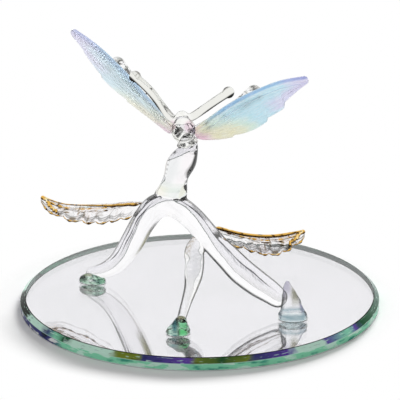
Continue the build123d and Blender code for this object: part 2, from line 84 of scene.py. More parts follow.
# Front leg from its joint under the arch, radius as a share of its own
FRONT_LEG_STATIONS = [
    (0.048, -0.795, 0.770, 0.80),
    (-0.039, -0.815, 0.621, 1.00),
    (-0.042, -0.880, 0.516, 0.98),
    (-0.052, -0.975, 0.407, 0.92),
    (-0.077, -1.100, 0.309, 0.70),
    (-0.110, -1.250, 0.228, 0.56),
    (-0.142, -1.415, 0.151, 0.49),
    (-0.163, -1.560, 0.102, 0.46),
]

# Stub: rise, lean and forward shift as shares of its height, half widths as shares of its radius
STEM_STATIONS = [
    (0.03, 0.030, -0.010, 1.32, 0.61),
    (0.19, 0.054, -0.015, 1.22, 0.76),
    (0.31, 0.090, -0.020, 1.02, 0.83),
    (0.44, 0.126, -0.030, 0.86, 0.84),
    (0.57, 0.180, -0.040, 0.92, 0.92),
    (0.70, 0.222, -0.055, 1.01, 1.00),
    (0.83, 0.263, -0.066, 0.94, 0.94),
    (0.93, 0.311, -0.072, 0.78, 0.78),
    (1.00, 0.347, -0.078, 0.63, 0.63),
]

# Feet: rise, shift towards the leg and size, as shares
LEFT_FOOT_STATIONS = [(0.00, 0.00, 0.96), (0.25, 0.00, 1.00), (0.65, 0.10, 0.90), (1.00, 0.20, 0.62)]
RIGHT_FOOT_STATIONS = [
    (0.00, 0.00, 0.96),
    (0.11, 0.00, 1.00),
    (0.20, 0.10, 0.86),
    (0.48, 0.40, 0.68),
    (0.74, 0.75, 0.45),
    (0.90, 0.93, 0.27),
    (1.00, 1.00, 0.14),
]
FRONT_FOOT_STATIONS = [(0.00, 0.00, 0.97), (0.22, 0.05, 1.00), (0.60, 0.45, 0.72), (1.00, 0.95, 0.46)]
# Flats round a foot, and the gap that the adhesive film fills under it
FOOT_SIDES = 7
GLUE_LINE = 0.16 * MM

# Forewings: span share, front edge and hem as shares of the chord, nose radius share
LEFT_FOREWING_SECTIONS = [
    (0.00, 0.02, 0.55, 1.00),
    (0.12, -0.04, 0.70, 1.10),
    (0.30, -0.09, 0.74, 1.10),
    (0.49, -0.23, 0.72, 1.05),
    (0.64, -0.28, 0.68, 1.00),
    (0.80, -0.29, 0.44, 0.95),
    (1.00, -0.14, 0.12, 0.90),
]
RIGHT_FOREWING_SECTIONS = [
    (0.00, 0.02, 0.45, 1.00),
    (0.16, -0.11, 0.66, 1.10),
    (0.32, -0.23, 0.76, 1.10),
    (0.49, -0.30, 0.80, 1.05),
    (0.64, -0.31, 0.70, 1.00),
    (0.81, -0.28, 0.46, 0.98),
    (1.00, -0.13, 0.12, 0.95),
]
HINDWING_SECTIONS = [
    (0.00, 0.06, 0.46, 0.62),
    (0.25, 0.22, 0.84, 0.64),
    (0.50, 0.27, 1.04, 0.66),
    (0.75, 0.18, 0.96, 0.76),
    (1.00, -0.16, 0.30, 1.00),
]

# Hem lobes: start, crest and end of each, as shares of span and chord
LEFT_FOREWING_LOBES = [
    ((-0.06, 0.34), (0.14, 0.44), (0.385, 0.59)),
    ((0.400, 0.53), (0.52, 0.59), (0.635, 0.57)),
    ((0.655, 0.50), (0.76, 0.40), (0.860, 0.26)),
    ((0.865, 0.22), (0.94, 0.12), (1.050, 0.02)),
]
RIGHT_FOREWING_LOBES = [
    ((-0.06, 0.16), (0.12, 0.48), (0.285, 0.64)),
    ((0.305, 0.60), (0.45, 0.68), (0.600, 0.61)),
    ((0.615, 0.52), (0.69, 0.50), (0.770, 0.45)),
    ((0.790, 0.30), (0.90, 0.17), (1.050, 0.02)),
]
HINDWING_LOBES = [
    ((-0.08, 0.30), (0.14, 0.62), (0.300, 0.74)),
    ((0.315, 0.69), (0.48, 0.92), (0.640, 0.90)),
    ((0.660, 0.82), (0.85, 0.66), (1.080, 0.20)),
]

# Antennae and abdomen: shares of reach or length to the side, back and up; the abdomen's last is its radius
LEFT_ANTENNA_STATIONS = [(0, 0, 0), (0.24, -0.10, 0.31), (0.51, -0.12, 0.69), (0.86, -0.04, 1.02)]
RIGHT_ANTENNA_STATIONS = [(0, 0, 0), (0.28, -0.09, 0.20), (0.57, -0.10, 0.41), (0.88, -0.04, 0.60)]
ABDOMEN_STATIONS = [
    (0.00, 0.00, 0.80),
    (0.10, -0.02, 0.95),
    (0.40, -0.14, 1.05),
    (0.72, -0.29, 0.88),
    (1.00, -0.42, 0.55),
]

# Leaves: length share, width share, sag and back slope, then the corners between the scallops
LEFT_LEAF_SECTIONS = [
    (0.00, 0.45, 0.00, 0.1),
    (0.12, 0.90, 0.12, 0.1),
    (0.28, 1.15, 0.40, 0.3),
    (0.45, 1.12, 0.68, 0.7),
    (0.65, 0.90, 0.97, 0.9),
    (0.85, 0.62, 1.10, 1.0),
    (1.00, 0.30, 1.00, 1.0),
]
RIGHT_LEAF_SECTIONS = [
    (0.00, 0.55, 0.00, 0.0),
    (0.15, 0.90, 0.30, 0.1),
    (0.30, 1.00, 0.60, 0.3),
    (0.48, 1.20, 0.86, 0.6),
    (0.66, 1.15, 1.02, 0.9),
    (0.84, 0.80, 1.05, 1.0),
    (1.00, 0.30, 1.00, 1.0),
]
LEFT_LEAF_CORNERS = [
    (0.00, 0.40), (0.06, 0.62), (0.155, 0.78), (0.25, 0.88), (0.38, 0.88), (0.52, 0.77), (0.73, 0.56),
    (1.00, 0.14),
]
RIGHT_LEAF_CORNERS = [
    (0.00, 0.45), (0.03, 0.56), (0.17, 0.66), (0.30, 0.66), (0.42, 0.82), (0.55, 0.92), (0.70, 0.80),
    (0.83, 0.54), (1.00, 0.14),
]
# How far a scallop stands out between its corners, as a share of the leaf's half width
SCALLOP_BULGE = 0.16

# Tones of the bevel round the rim, painted reflections of what it faces, each from its angle on: 0 is the
# front, 90 the right
BEVEL_PATCHES = [
    (-180, "slate"), (-130, "mint"), (-126, "sea"), (-114, "sea"), (-111, "slate"), (-104, "mint"),
    (-94, "mint"), (-91, "night"), (-71, "night"), (-69, "mint"), (-58, "mint"), (-55, "ink_blue_reflection"),
    (-51, "sea"), (-45, "forest"), (-43, "mint"), (-28, "mint"), (-25, "olive"), (-19, "olive"),
    (-17, "ink_blue_reflection"), (-4, "violet"), (-1, "olive"), (6, "forest"), (14, "olive"), (18, "ink_blue_reflection"),
    (27, "violet"), (29, "mint"), (40, "mint"), (42, "violet"), (53, "sea"), (56, "violet"),
    (60, "forest"), (104, "slate"),
]

# Finishes of one fine grain: its scale and detail, stops of colour and roughness, constants and bump
PLAIN_FINISHES = {
    "plate_glass": (
        (40.0, 2.0),
        [(0.3, (0.955, 0.955, 0.965)), (0.7, (0.975, 0.972, 0.985))],
        [(0.4, 0.0), (0.9, 0.01)],
        {"Transmission Weight": 1.0, "IOR": 1.52}, 0.0,
    ),
    "silvering": (
        (60.0, 3.0),
        [(0.3, (0.92, 0.915, 0.93)), (0.7, (0.95, 0.945, 0.955))],
        [(0.3, 0.0), (0.8, 0.012)],
        {"Metallic": 1.0}, 0.0,
    ),
    "backing_paint": (
        (900.0, 4.0),
        [(0.3, (0.15, 0.15, 0.15)), (0.7, (0.20, 0.20, 0.20))],
        [(0.3, 0.5), (0.7, 0.7)],
        {}, 0.5,
    ),
    "cured_adhesive": (
        (1400.0, 3.0),
        [(0.4, (0.90, 0.95, 0.92)), (0.7, (0.97, 0.99, 0.98))],
        [(0.3, 0.1), (0.7, 0.4)],
        {"Transmission Weight": 1.0, "IOR": 1.15}, 0.0,
    ),
}

# Painted marks: a reach that leaves nothing out, and the painted black of a glass outline and its dark lines
ALL = (-9, 9, 0.1)
PAINTED_BLACK = (0.0002, 0.0002, 0.0002)


def length(name, description, size):
    """A length property in metres, given in millimetres."""
    return bpy.props.FloatProperty(
        name=name, description=description, default=size * MM, unit="LENGTH", subtype="DISTANCE", precision=5
    )


def extent(name, description, *sizes):
    """Three lengths in metres, given in millimetres."""
    return bpy.props.FloatVectorProperty(
        name=name, description=description, default=[size * MM for size in sizes], size=3, unit="LENGTH",
        subtype="XYZ", precision=5,
    )


def angle(name, description, degrees):
    """An angle property, given in degrees."""
    return bpy.props.FloatProperty(
        name=name, description=description, default=math.radians(degrees), unit="ROTATION", subtype="ANGLE"
    )


def colour(name, description, red, green, blue):
    """A colour property in linear light."""
    return bpy.props.FloatVectorProperty(
        name=name, description=description, default=(red, green, blue), size=3, min=0, max=1, subtype="COLOR"
    )


def share(name, description, value):
    """A factor property between nothing and all."""
    return bpy.props.FloatProperty(
        name=name, description=description, default=value, min=0, max=1, subtype="FACTOR"
    )


class MirrorSettings(bpy.types.PropertyGroup):
    """Sizes and colours of the mirror base."""

    bevel_width: length("Bevel width", "Width of the polished bevel in plan", 1.5)
    bevel_drop: length("Bevel drop", "How far the bevel falls at the rim", 1.2)
    arris: length("Arris", "Width of the tiny flat ground on each sharp edge", 0.12)
    sea: colour("Sea green", "Colour of the glass seen along its cut edge", 0.28, 0.76, 0.50)
    deep_sea: colour("Deep sea green", "Darker streaks of the cut edge", 0.06, 0.34, 0.24)
    # Mint to slate are painted reflections that the bevel shows, not tints of the glass
    mint: colour("Mint", "Pale patches of the bevel", 0.62, 0.90, 0.76)
    ink_blue_reflection: colour("Ink", "Blue violet patches of the bevel", 0.05, 0.055, 0.20)
    violet: colour("Violet", "Bright violet patches of the bevel", 0.14, 0.07, 0.42)
    olive: colour("Olive", "Olive patches of the bevel", 0.20, 0.26, 0.03)
    forest: colour("Forest", "Deep green patches of the bevel", 0.008, 0.09, 0.03)
    night: colour("Night", "Nearly black patches of the bevel", 0.004, 0.012, 0.006)
    slate: colour("Slate", "Grey green of the bevel at the back", 0.20, 0.26, 0.25)


class BranchSettings(bpy.types.PropertyGroup):
    """Sizes and colours of the clear glass branch."""

    reach: length("Reach", "Half width of the arch over the mirror", 31.0)
    depth: length("Depth", "How far the arch comes forward", 20.0)
    height: length("Height", "Height of the arch's line over the mirror", 28.5)
    rod_radius: length("Rod radius", "Radius of the arch's rod", 3.5)
    front_leg_radius: length("Front leg radius", "Radius of the front leg's rod", 2.7)
    stem_height: length("Stub height", "Height of the upright stub", 16.7)
    stem_radius: length("Stub radius", "Radius of the upright stub", 4.1)
    left_foot: extent("Left foot", "Length, width and height of the left foot", 8.2, 5.2, 1.9)
    right_foot: extent("Right foot", "Length, width and height of the right foot", 8.2, 6.6, 9.4)
    front_foot: extent("Front foot", "Length, width and height of the front foot", 6.6, 5.2, 3.4)
    rib_depth: length("Rib depth", "Depth of the drawn lines in the rod", 0.16)
    pitch: length("Pitch", "Grain of the fused glass mesh", 0.24)


class ButterflySettings(bpy.types.PropertyGroup):
    """Sizes and colours of the butterfly."""

    thorax_radius: length("Thorax radius", "Half width of the thorax", 3.3)
    thorax_length: length("Thorax length", "Length of the thorax", 7.2)
    thorax_pitch: angle("Thorax pitch", "Lean of the thorax to the back", 20)
    head_radius: length("Head radius", "Radius of the head", 1.9)
    abdomen_length: length("Abdomen length", "Length of the abdomen", 10.6)
    abdomen_radius: length("Abdomen radius", "Radius of the abdomen", 2.0)
    antenna_radius: length("Antenna radius", "Radius of the antenna's rod", 1.15)
    knob_radius: length("Knob radius", "Radius of the antenna's knob", 1.6)
    antenna_reach: length("Antenna reach", "Size that the antennae follow", 11.6)
    collar_radius: length("Collar radius", "Radius of the bead collar", 2.2)
    collar_height: length("Collar height", "Height of the bead collar", 3.2)
    bead_radius: length("Bead radius", "Radius of a collar bead", 0.85)
    pitch: length("Pitch", "Grain of the fused glass mesh", 0.17)
    left_forewing: length("Left forewing", "Span of the left forewing", 37.4)
    right_forewing: length("Right forewing", "Span of the right forewing", 32.9)
    left_hindwing: length("Left hindwing", "Span of the left hindwing", 25.6)
    right_hindwing: length("Right hindwing", "Span of the right hindwing", 21.8)
    nose_radius: length("Nose radius", "Radius of the forewings' thick front edge", 1.15)
    edge_thickness: length("Edge thickness", "Thickness of a wing at its hem", 0.9)
    rib_depth: length("Wing rib depth", "Height of the pressed ribs in the wings", 0.07)
    root_colour: colour("Root", "Pink at the wing's root", 0.90, 0.56, 0.68)
    inner_colour: colour("Inner", "Pale yellow next to the root", 0.86, 0.83, 0.55)
    middle_colour: colour("Middle", "Pale green", 0.68, 0.88, 0.76)
    outer_colour: colour("Outer", "Light cyan", 0.52, 0.82, 0.93)
    far_colour: colour("Far", "Lavender of the outer hem", 0.70, 0.70, 0.93)
    tip_colour: colour("Tip", "Violet at the tip", 0.62, 0.57, 0.84)


class LeafSettings(bpy.types.PropertyGroup):
    """Sizes and colours of the leaves."""

    ridge_radius: length("Ridge radius", "Half thickness at the ridge", 0.95)
    edge_thickness: length("Edge thickness", "Thickness at the scallops", 0.9)
    front_slope: angle("Front slope", "Slope of the front half", 40)
    back_share: share("Back share", "Width of a leaf's back half against its front half", 0.55)
    rib_depth: length("Rib depth", "Depth of the pressed feather lines", 0.14)
    gold_line: length("Gold line", "Radius of the gold on a scallop", 0.40)
    gold_ridge: length("Gold ridge", "Radius of the gold on the ridge", 0.50)
    gold: colour("Gold", "Bright fired gold", 0.82, 0.49, 0.11)
    # Pale gold is a painted highlight, and worn gold also the painted shade on the gold's undersides
    pale_gold: colour("Pale gold", "Gold where it catches the light", 1.0, 0.86, 0.52)
    worn_gold: colour("Worn gold", "Thin gold over glass", 0.06, 0.025, 0.006)


class StageSettings(bpy.types.PropertyGroup):
    """Floor, light and camera."""

    floor: colour("Floor", "Matte white floor", 0.80, 0.80, 0.80)
    world: share("World", "Level of the white surroundings as a light", 0.32)
    back_lamp: bpy.props.FloatProperty(name="Back lamp", description="Strength of its light", default=6.4)
    front_lamp: bpy.props.FloatProperty(name="Front lamp", description="Strength of its light", default=0.7)
    lens: bpy.props.FloatProperty(name="Lens", description="Focal length", default=157.8, unit="CAMERA")
    camera_place: bpy.props.FloatVectorProperty(
        name="Camera", description="Place of the camera", default=(0.0, -0.46688, 0.17894), subtype="XYZ",
        unit="LENGTH",
    )
    camera_turn: bpy.props.FloatVectorProperty(
        name="Camera turn", description="Turn of the camera", subtype="EULER",
        default=(math.radians(72.3097), math.radians(0.3513), math.radians(-0.1435)),
    )


SETTINGS = {
    "ornament_mirror": MirrorSettings,
    "ornament_branch": BranchSettings,
    "ornament_butterfly": ButterflySettings,
    "ornament_leaf": LeafSettings,
    "ornament_stage": StageSettings,
}


# Meshes


def curve_through(knots, values, places):
    """Natural cubic spline through rows of values at the knots, read at the places."""
    knots, values, places = (np.asarray(rows, float) for rows in (knots, values, places))
    steps = np.diff(knots)
    slopes = np.diff(values, axis=0) / steps[:, None]
    system = np.eye(len(knots))
    right = np.zeros_like(values)
    for i in range(1, len(knots) - 1):
        system[i, i - 1 : i + 2] = steps[i - 1], 2 * (steps[i - 1] + steps[i]), steps[i]
        right[i] = 6 * (slopes[i] - slopes[i - 1])
    bends = np.linalg.solve(system, right)
    index = np.clip(np.searchsorted(knots, places, side="right") - 1, 0, len(knots) - 2)
    step = steps[index][:, None]
    ahead = (places - knots[index])[:, None] / step
    behind = 1 - ahead
    curved = (behind**3 - behind) * bends[index] + (ahead**3 - ahead) * bends[index + 1]
    return behind * values[index] + ahead * values[index + 1] + curved * step**2 / 6


def path_through(rows, count):
    """Rows read evenly along the smooth path through their first three columns."""
    rows = np.asarray(rows, float)
    knots = np.concatenate([[0], np.cumsum(np.linalg.norm(np.diff(rows[:, :3], axis=0), axis=1))])
    return curve_through(knots, rows, np.linspace(0, knots[-1], count))


def unit(rows):
    """Rows scaled to length one."""
    return rows / np.maximum(np.linalg.norm(rows, axis=-1, keepdims=True), 1e-12)


def placed(name, data):
    """A new object at the scene's origin."""
    made = bpy.data.objects.new(name, data)
    bpy.context.scene.collection.objects.link(made)
    return made


def piece_of(name, points, faces):
    """A smooth-shaded mesh piece."""
    mesh = bpy.data.meshes.new(name)
    mesh.from_pydata([tuple(point) for point in points], [], [tuple(face) for face in faces])
    mesh.validate()
    mesh.shade_smooth()
    return placed(name, mesh)


def oval(middle, way, aside, wide, deep, count):
    """Points on an oval round a place."""
    turns = np.linspace(0, math.tau, count, endpoint=False)
    return middle + np.outer(np.cos(turns) * wide, way) + np.outer(np.sin(turns) * deep, aside)


def dome(ring, lift, count, point):
    """Rings that round off the end of a loft, down to a small point."""
    centre = ring.mean(axis=0)
    return [
        centre + (ring - centre) * max(math.cos(bend), point) + np.asarray(lift) * math.sin(bend)
        for bend in np.linspace(0, math.pi / 2, count)[1:]
    ]


def there_and_back(upper, lower):
    """Rows along a blade's upper face and back along its lower face."""
    return np.concatenate([upper, lower[-2:0:-1]])


def loft(name, rings):
    """A closed skin over rings of points, with a flat cap on each end."""
    rings = np.asarray(rings, float)
    count, around = rings.shape[:2]
    faces = []
    for i in range(count - 1):
        for j in range(around):
            k = (j + 1) % around
            faces.append((i * around + j, i * around + k, (i + 1) * around + k, (i + 1) * around + j))
    faces.append(tuple(reversed(range(around))))
    faces.append(tuple((count - 1) * around + j for j in range(around)))
    return face_out(piece_of(name, rings.reshape(-1, 3), faces))


def face_out(piece):
    """Merges doubles and turns all faces outwards."""
    shell = bmesh.new()
    shell.from_mesh(piece.data)
    bmesh.ops.remove_doubles(shell, verts=shell.verts, dist=MM / 1000)
    bmesh.ops.recalc_face_normals(shell, faces=shell.faces)
    shell.to_mesh(piece.data)
    shell.free()
    return piece


def ball(name, centre, radius):
    """A closed ball."""
    shell = bmesh.new()
    bmesh.ops.create_icosphere(shell, subdivisions=4, radius=radius)
    mesh = bpy.data.meshes.new(name)
    shell.to_mesh(mesh)
    shell.free()
    mesh.transform(Matrix.Translation(Vector(centre)))
    return placed(name, mesh)


def plain_mesh(piece):
    """Turns what the modifiers make of a piece into its own mesh, and removes the modifiers."""
    bpy.context.view_layer.update()
    made = bpy.data.meshes.new_from_object(piece.evaluated_get(bpy.context.evaluated_depsgraph_get()))
    piece.modifiers.clear()
    piece.data = made
    return piece


def node(tree, kind, values=(), **settings):
    """Adds a node and gives each named input a value or a link."""
    added = tree.nodes.new(kind)
    for key, value in settings.items():
        setattr(added, key, value)
    for key, value in dict(values).items():
        if isinstance(value, bpy.types.NodeSocket):
            tree.links.new(value, added.inputs[key])
        else:
            added.inputs[key].default_value = value
    return added


def shape_tree(name, sizes):
    """An empty geometry tree with a geometry socket each way, a material and the sizes as inputs."""
    tree = bpy.data.node_groups.new(name, "GeometryNodeTree")
    tree.interface.new_socket("Geometry", in_out="INPUT", socket_type="NodeSocketGeometry")
    tree.interface.new_socket("Geometry", in_out="OUTPUT", socket_type="NodeSocketGeometry")
    tree.interface.new_socket("Finish", in_out="INPUT", socket_type="NodeSocketMaterial")
    for label, kind in sizes.items():
        tree.interface.new_socket(label, in_out="INPUT", socket_type=kind)
    return tree, tree.nodes.new("NodeGroupInput"), tree.nodes.new("NodeGroupOutput")


def end_tree(tree, start, end, geometry):
    """Ends a tree in Realize Instances and Set Material."""
    real = node(tree, "GeometryNodeRealizeInstances", {"Geometry": geometry})
    finished = node(
        tree, "GeometryNodeSetMaterial", {"Geometry": real.outputs[0], "Material": start.outputs["Finish"]}
    )
    tree.links.new(finished.outputs[0], end.inputs["Geometry"])
    return tree


def rod_tree():
    """Tree that draws a round rod along a line of stations, each with its own radius."""
    if "Drawn rod" in bpy.data.node_groups:
        return bpy.data.node_groups["Drawn rod"]
    tree, start, end = shape_tree("Drawn rod", {"Spacing": "NodeSocketFloat", "Sides": "NodeSocketInt"})
    line = node(tree, "GeometryNodeMeshToCurve", {"Mesh": start.outputs["Geometry"]})
    smooth = node(tree, "GeometryNodeCurveSplineType", {"Curve": line.outputs[0]}, spline_type="CATMULL_ROM")
    fine = node(tree, "GeometryNodeSetSplineResolution", {"Geometry": smooth.outputs[0], "Resolution": 24})
    spacing = {"Curve": fine.outputs[0], "Length": start.outputs["Spacing"]}
    even = node(tree, "GeometryNodeResampleCurve", spacing, mode="LENGTH")
    radius = node(tree, "GeometryNodeInputNamedAttribute", {"Name": "rod_radius"}, data_type="FLOAT")
    width = radius.outputs["Attribute"]
    sized = node(tree, "GeometryNodeSetCurveRadius", {"Curve": even.outputs[0], "Radius": width})
    round_one = {"Resolution": start.outputs["Sides"], "Radius": 1.0}
    ring = node(tree, "GeometryNodeCurvePrimitiveCircle", round_one)
    outline = {"Curve": sized.outputs[0], "Profile Curve": ring.outputs[0], "Fill Caps": True}
    skin = node(tree, "GeometryNodeCurveToMesh", outline)
    if "Scale" in skin.inputs:
        tree.links.new(width, skin.inputs["Scale"])
    return end_tree(tree, start, end, skin.outputs[0])


def bead_tree():
    """Tree that sets equal beads round a ring."""
    sizes = {"Ring radius": "NodeSocketFloat", "Bead radius": "NodeSocketFloat", "Beads": "NodeSocketInt"}
    tree, start, end = shape_tree("Bead ring", sizes)
    around = {"Vertices": start.outputs["Beads"], "Radius": start.outputs["Ring radius"]}
    ring = node(tree, "GeometryNodeMeshCircle", around)
    ball_size = {"Radius": start.outputs["Bead radius"], "Subdivisions": 3}
    bead = node(tree, "GeometryNodeMeshIcoSphere", ball_size)
    each = {"Points": ring.outputs["Mesh"], "Instance": bead.outputs["Mesh"]}
    beads = node(tree, "GeometryNodeInstanceOnPoints", each)
    return end_tree(tree, start, end, beads.outputs[0])


def grow(piece, tree, values):
    """Runs a geometry tree on a piece with its inputs set, and keeps the result as a plain mesh."""
    modifier = piece.modifiers.new(tree.name, "NODES")
    modifier.node_group = tree
    sockets = {s.name: s.identifier for s in tree.interface.items_tree if s.in_out == "INPUT"}
    for label, value in values.items():
        modifier[sockets[label]] = value
    return face_out(plain_mesh(piece))


def rod(name, points, radii, finish, sides=48):
    """A closed rod along points, grown from its stations."""
    mesh = bpy.data.meshes.new(name)
    mesh.from_pydata([tuple(point) for point in points], [(i, i + 1) for i in range(len(points) - 1)], [])
    sizes = mesh.attributes.new("rod_radius", "FLOAT", "POINT")
    sizes.data.foreach_set("value", np.asarray(radii, np.float32))
    return grow(placed(name, mesh), rod_tree(), {"Finish": finish, "Spacing": 0.25 * MM, "Sides": sides})


def fuse(name, parts, pitch, rounds):
    """Melts closed parts into one skin, smoothed where they meet."""
    points, faces = [], []
    for part in parts:
        offset = len(points)
        points += [tuple(vertex.co) for vertex in part.data.vertices]
        faces += [tuple(offset + i for i in polygon.vertices) for polygon in part.data.polygons]
        bpy.data.objects.remove(part)
    piece = piece_of(name, points, faces)
    remesh = piece.modifiers.new("Melt", "REMESH")
    remesh.mode, remesh.voxel_size, remesh.use_smooth_shade = "VOXEL", pitch, True
    relax = piece.modifiers.new("Fire polish", "SMOOTH")
    relax.factor, relax.iterations = 0.5, rounds
    plain_mesh(piece)
    piece.data.shade_smooth()
    return piece


def vertex_rows(piece):
    """Places and normals of a piece's vertices."""
    count = len(piece.data.vertices)
    places, normals = np.empty(count * 3, np.float32), np.empty(count * 3, np.float32)
    piece.data.vertices.foreach_get("co", places)
    piece.data.vertex_normals.foreach_get("vector", normals)
    return places.reshape(-1, 3).astype(float), normals.reshape(-1, 3).astype(float)


def set_places(piece, places):
    """Moves a piece's vertices."""
    piece.data.vertices.foreach_set("co", places.astype(np.float32).ravel())
    piece.data.update()


def set_share(piece, name, values):
    """Stores a share on each vertex, for the finish to read."""
    kept = piece.data.attributes.new(name, "FLOAT", "POINT")
    kept.data.foreach_set("value", np.asarray(values, np.float32))


def nearest(places, rows):
    """Index of the nearest row for each place."""
    tree = kdtree.KDTree(len(rows))
    for i, row in enumerate(rows):
        tree.insert(row, i)
    tree.balance()
    return np.array([tree.find(place)[1] for place in places])


def finished(piece, finish, slot, *nodes):
    """Gives a piece its finish, its body and the nodes that it stands for."""
    piece.data.materials.clear()
    piece.data.materials.append(finish)
    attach(piece, BODY)
    if nodes:
        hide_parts(*nodes)
    return piece


def dress(name, finish):
    """Gives a node of the frame its finish."""
    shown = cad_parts[name]
    shown.data.materials.clear()
    shown.data.materials.append(finish)


# Finishes


def finish_named(name):
    """A new node material, or the one of that name, with its tree and surface shader."""
    if name in bpy.data.materials:
        return bpy.data.materials[name], None, None
    material = bpy.data.materials.new(name)
    material.use_nodes = True
    tree = material.node_tree
    return material, tree, tree.nodes["Principled BSDF"]


def ramp(tree, factor, stops, interpolation="EASE"):
    """A colour ramp with its stops as (place, (r, g, b))."""
    band = node(tree, "ShaderNodeValToRGB", {"Fac": factor})
    band.color_ramp.interpolation = interpolation
    elements = band.color_ramp.elements
    while len(elements) < len(stops):
        elements.new(0.5)
    for element, (place, shade) in zip(elements, stops):
        element.position = place
        element.color = (*shade, 1)
    return band.outputs["Color"]


def grey(level):
    """A neutral colour."""
    return (level, level, level)


def levels(tree, factor, *stops, interpolation="EASE"):
    """A ramp of greys with its stops as (place, level)."""
    return ramp(tree, factor, [(place, grey(level)) for place, level in stops], interpolation)


def maths(tree, operation, *values):
    """A Math node's result."""
    added = tree.nodes.new("ShaderNodeMath")
    added.operation = operation
    for socket, value in zip(added.inputs, values):
        if isinstance(value, bpy.types.NodeSocket):
            tree.links.new(value, socket)
        else:
            socket.default_value = value
    return added.outputs[0]


def mapped(tree, value, start, end, kind="LINEAR"):
    """How far a value is from the start to the end, as a share."""
    limits = {"Value": value, "From Min": start, "From Max": end}
    return node(tree, "ShaderNodeMapRange", limits, interpolation_type=kind).outputs[0]


def blended(tree, mode, factor, first, second):
    """Two colours mixed."""
    mix = tree.nodes.new("ShaderNodeMix")
    mix.data_type, mix.blend_type = "RGBA", mode
    for index, value in ((0, factor), (6, first), (7, second)):
        if isinstance(value, bpy.types.NodeSocket):
            tree.links.new(value, mix.inputs[index])
        elif index:
            mix.inputs[index].default_value = (*value, 1)
        else:
            mix.inputs[index].default_value = value
    return mix.outputs[2]


def noise(tree, place, scale, detail):
    """A noise value at a place."""
    made = node(tree, "ShaderNodeTexNoise", {"Vector": place, "Scale": scale, "Detail": detail})
    return made.outputs["Fac"]


def object_place(tree):
    """Object coordinates, which are metres in the row frame."""
    return tree.nodes.new("ShaderNodeTexCoord").outputs["Object"]


def stored(tree, name):
    """A share stored on the vertices."""
    return node(tree, "ShaderNodeAttribute", attribute_name=name).outputs["Fac"]


def coat(tree, surface, shades, roughness, constants):
    """Links a surface's colour and roughness, and sets what is the same all over it."""
    tree.links.new(shades, surface.inputs["Base Color"])
    tree.links.new(roughness, surface.inputs["Roughness"])
    for socket, value in constants.items():
        surface.inputs[socket].default_value = value


def rim_shade(tree, start, end, dark, wider):
    """White in the middle of a rod and dark at its outline, where glass bends the light away."""
    facing = node(tree, "ShaderNodeLayerWeight", {"Blend": 0.5}).outputs["Facing"]
    more = maths(tree, "MAXIMUM", maths(tree, "SUBTRACT", wider, 1.0), 0.0)
    facing = maths(tree, "MULTIPLY_ADD", more, 0.25, facing)
    return ramp(tree, facing, [(0.0, grey(1.0)), (start, grey(1.0)), (end, dark), (1.0, dark)], "LINEAR")


def bumped(tree, surface, height, distance, strength):
    """Bends the surface's normals by a height."""
    bump = node(tree, "ShaderNodeBump", {"Height": height, "Distance": distance, "Strength": strength})
    tree.links.new(bump.outputs["Normal"], surface.inputs["Normal"])


def plain_finish(name):
    """A finish whose colour and roughness follow one fine grain."""
    material, tree, surface = finish_named(name)
    if tree is None:
        return material
    (scale, detail), colours, roughness, constants, relief = PLAIN_FINISHES[name]
    grain = noise(tree, object_place(tree), scale, detail)
    coat(tree, surface, ramp(tree, grain, colours), levels(tree, grain, *roughness), constants)
    if relief:
        bumped(tree, surface, grain, 0.03 * MM, relief)
    return material


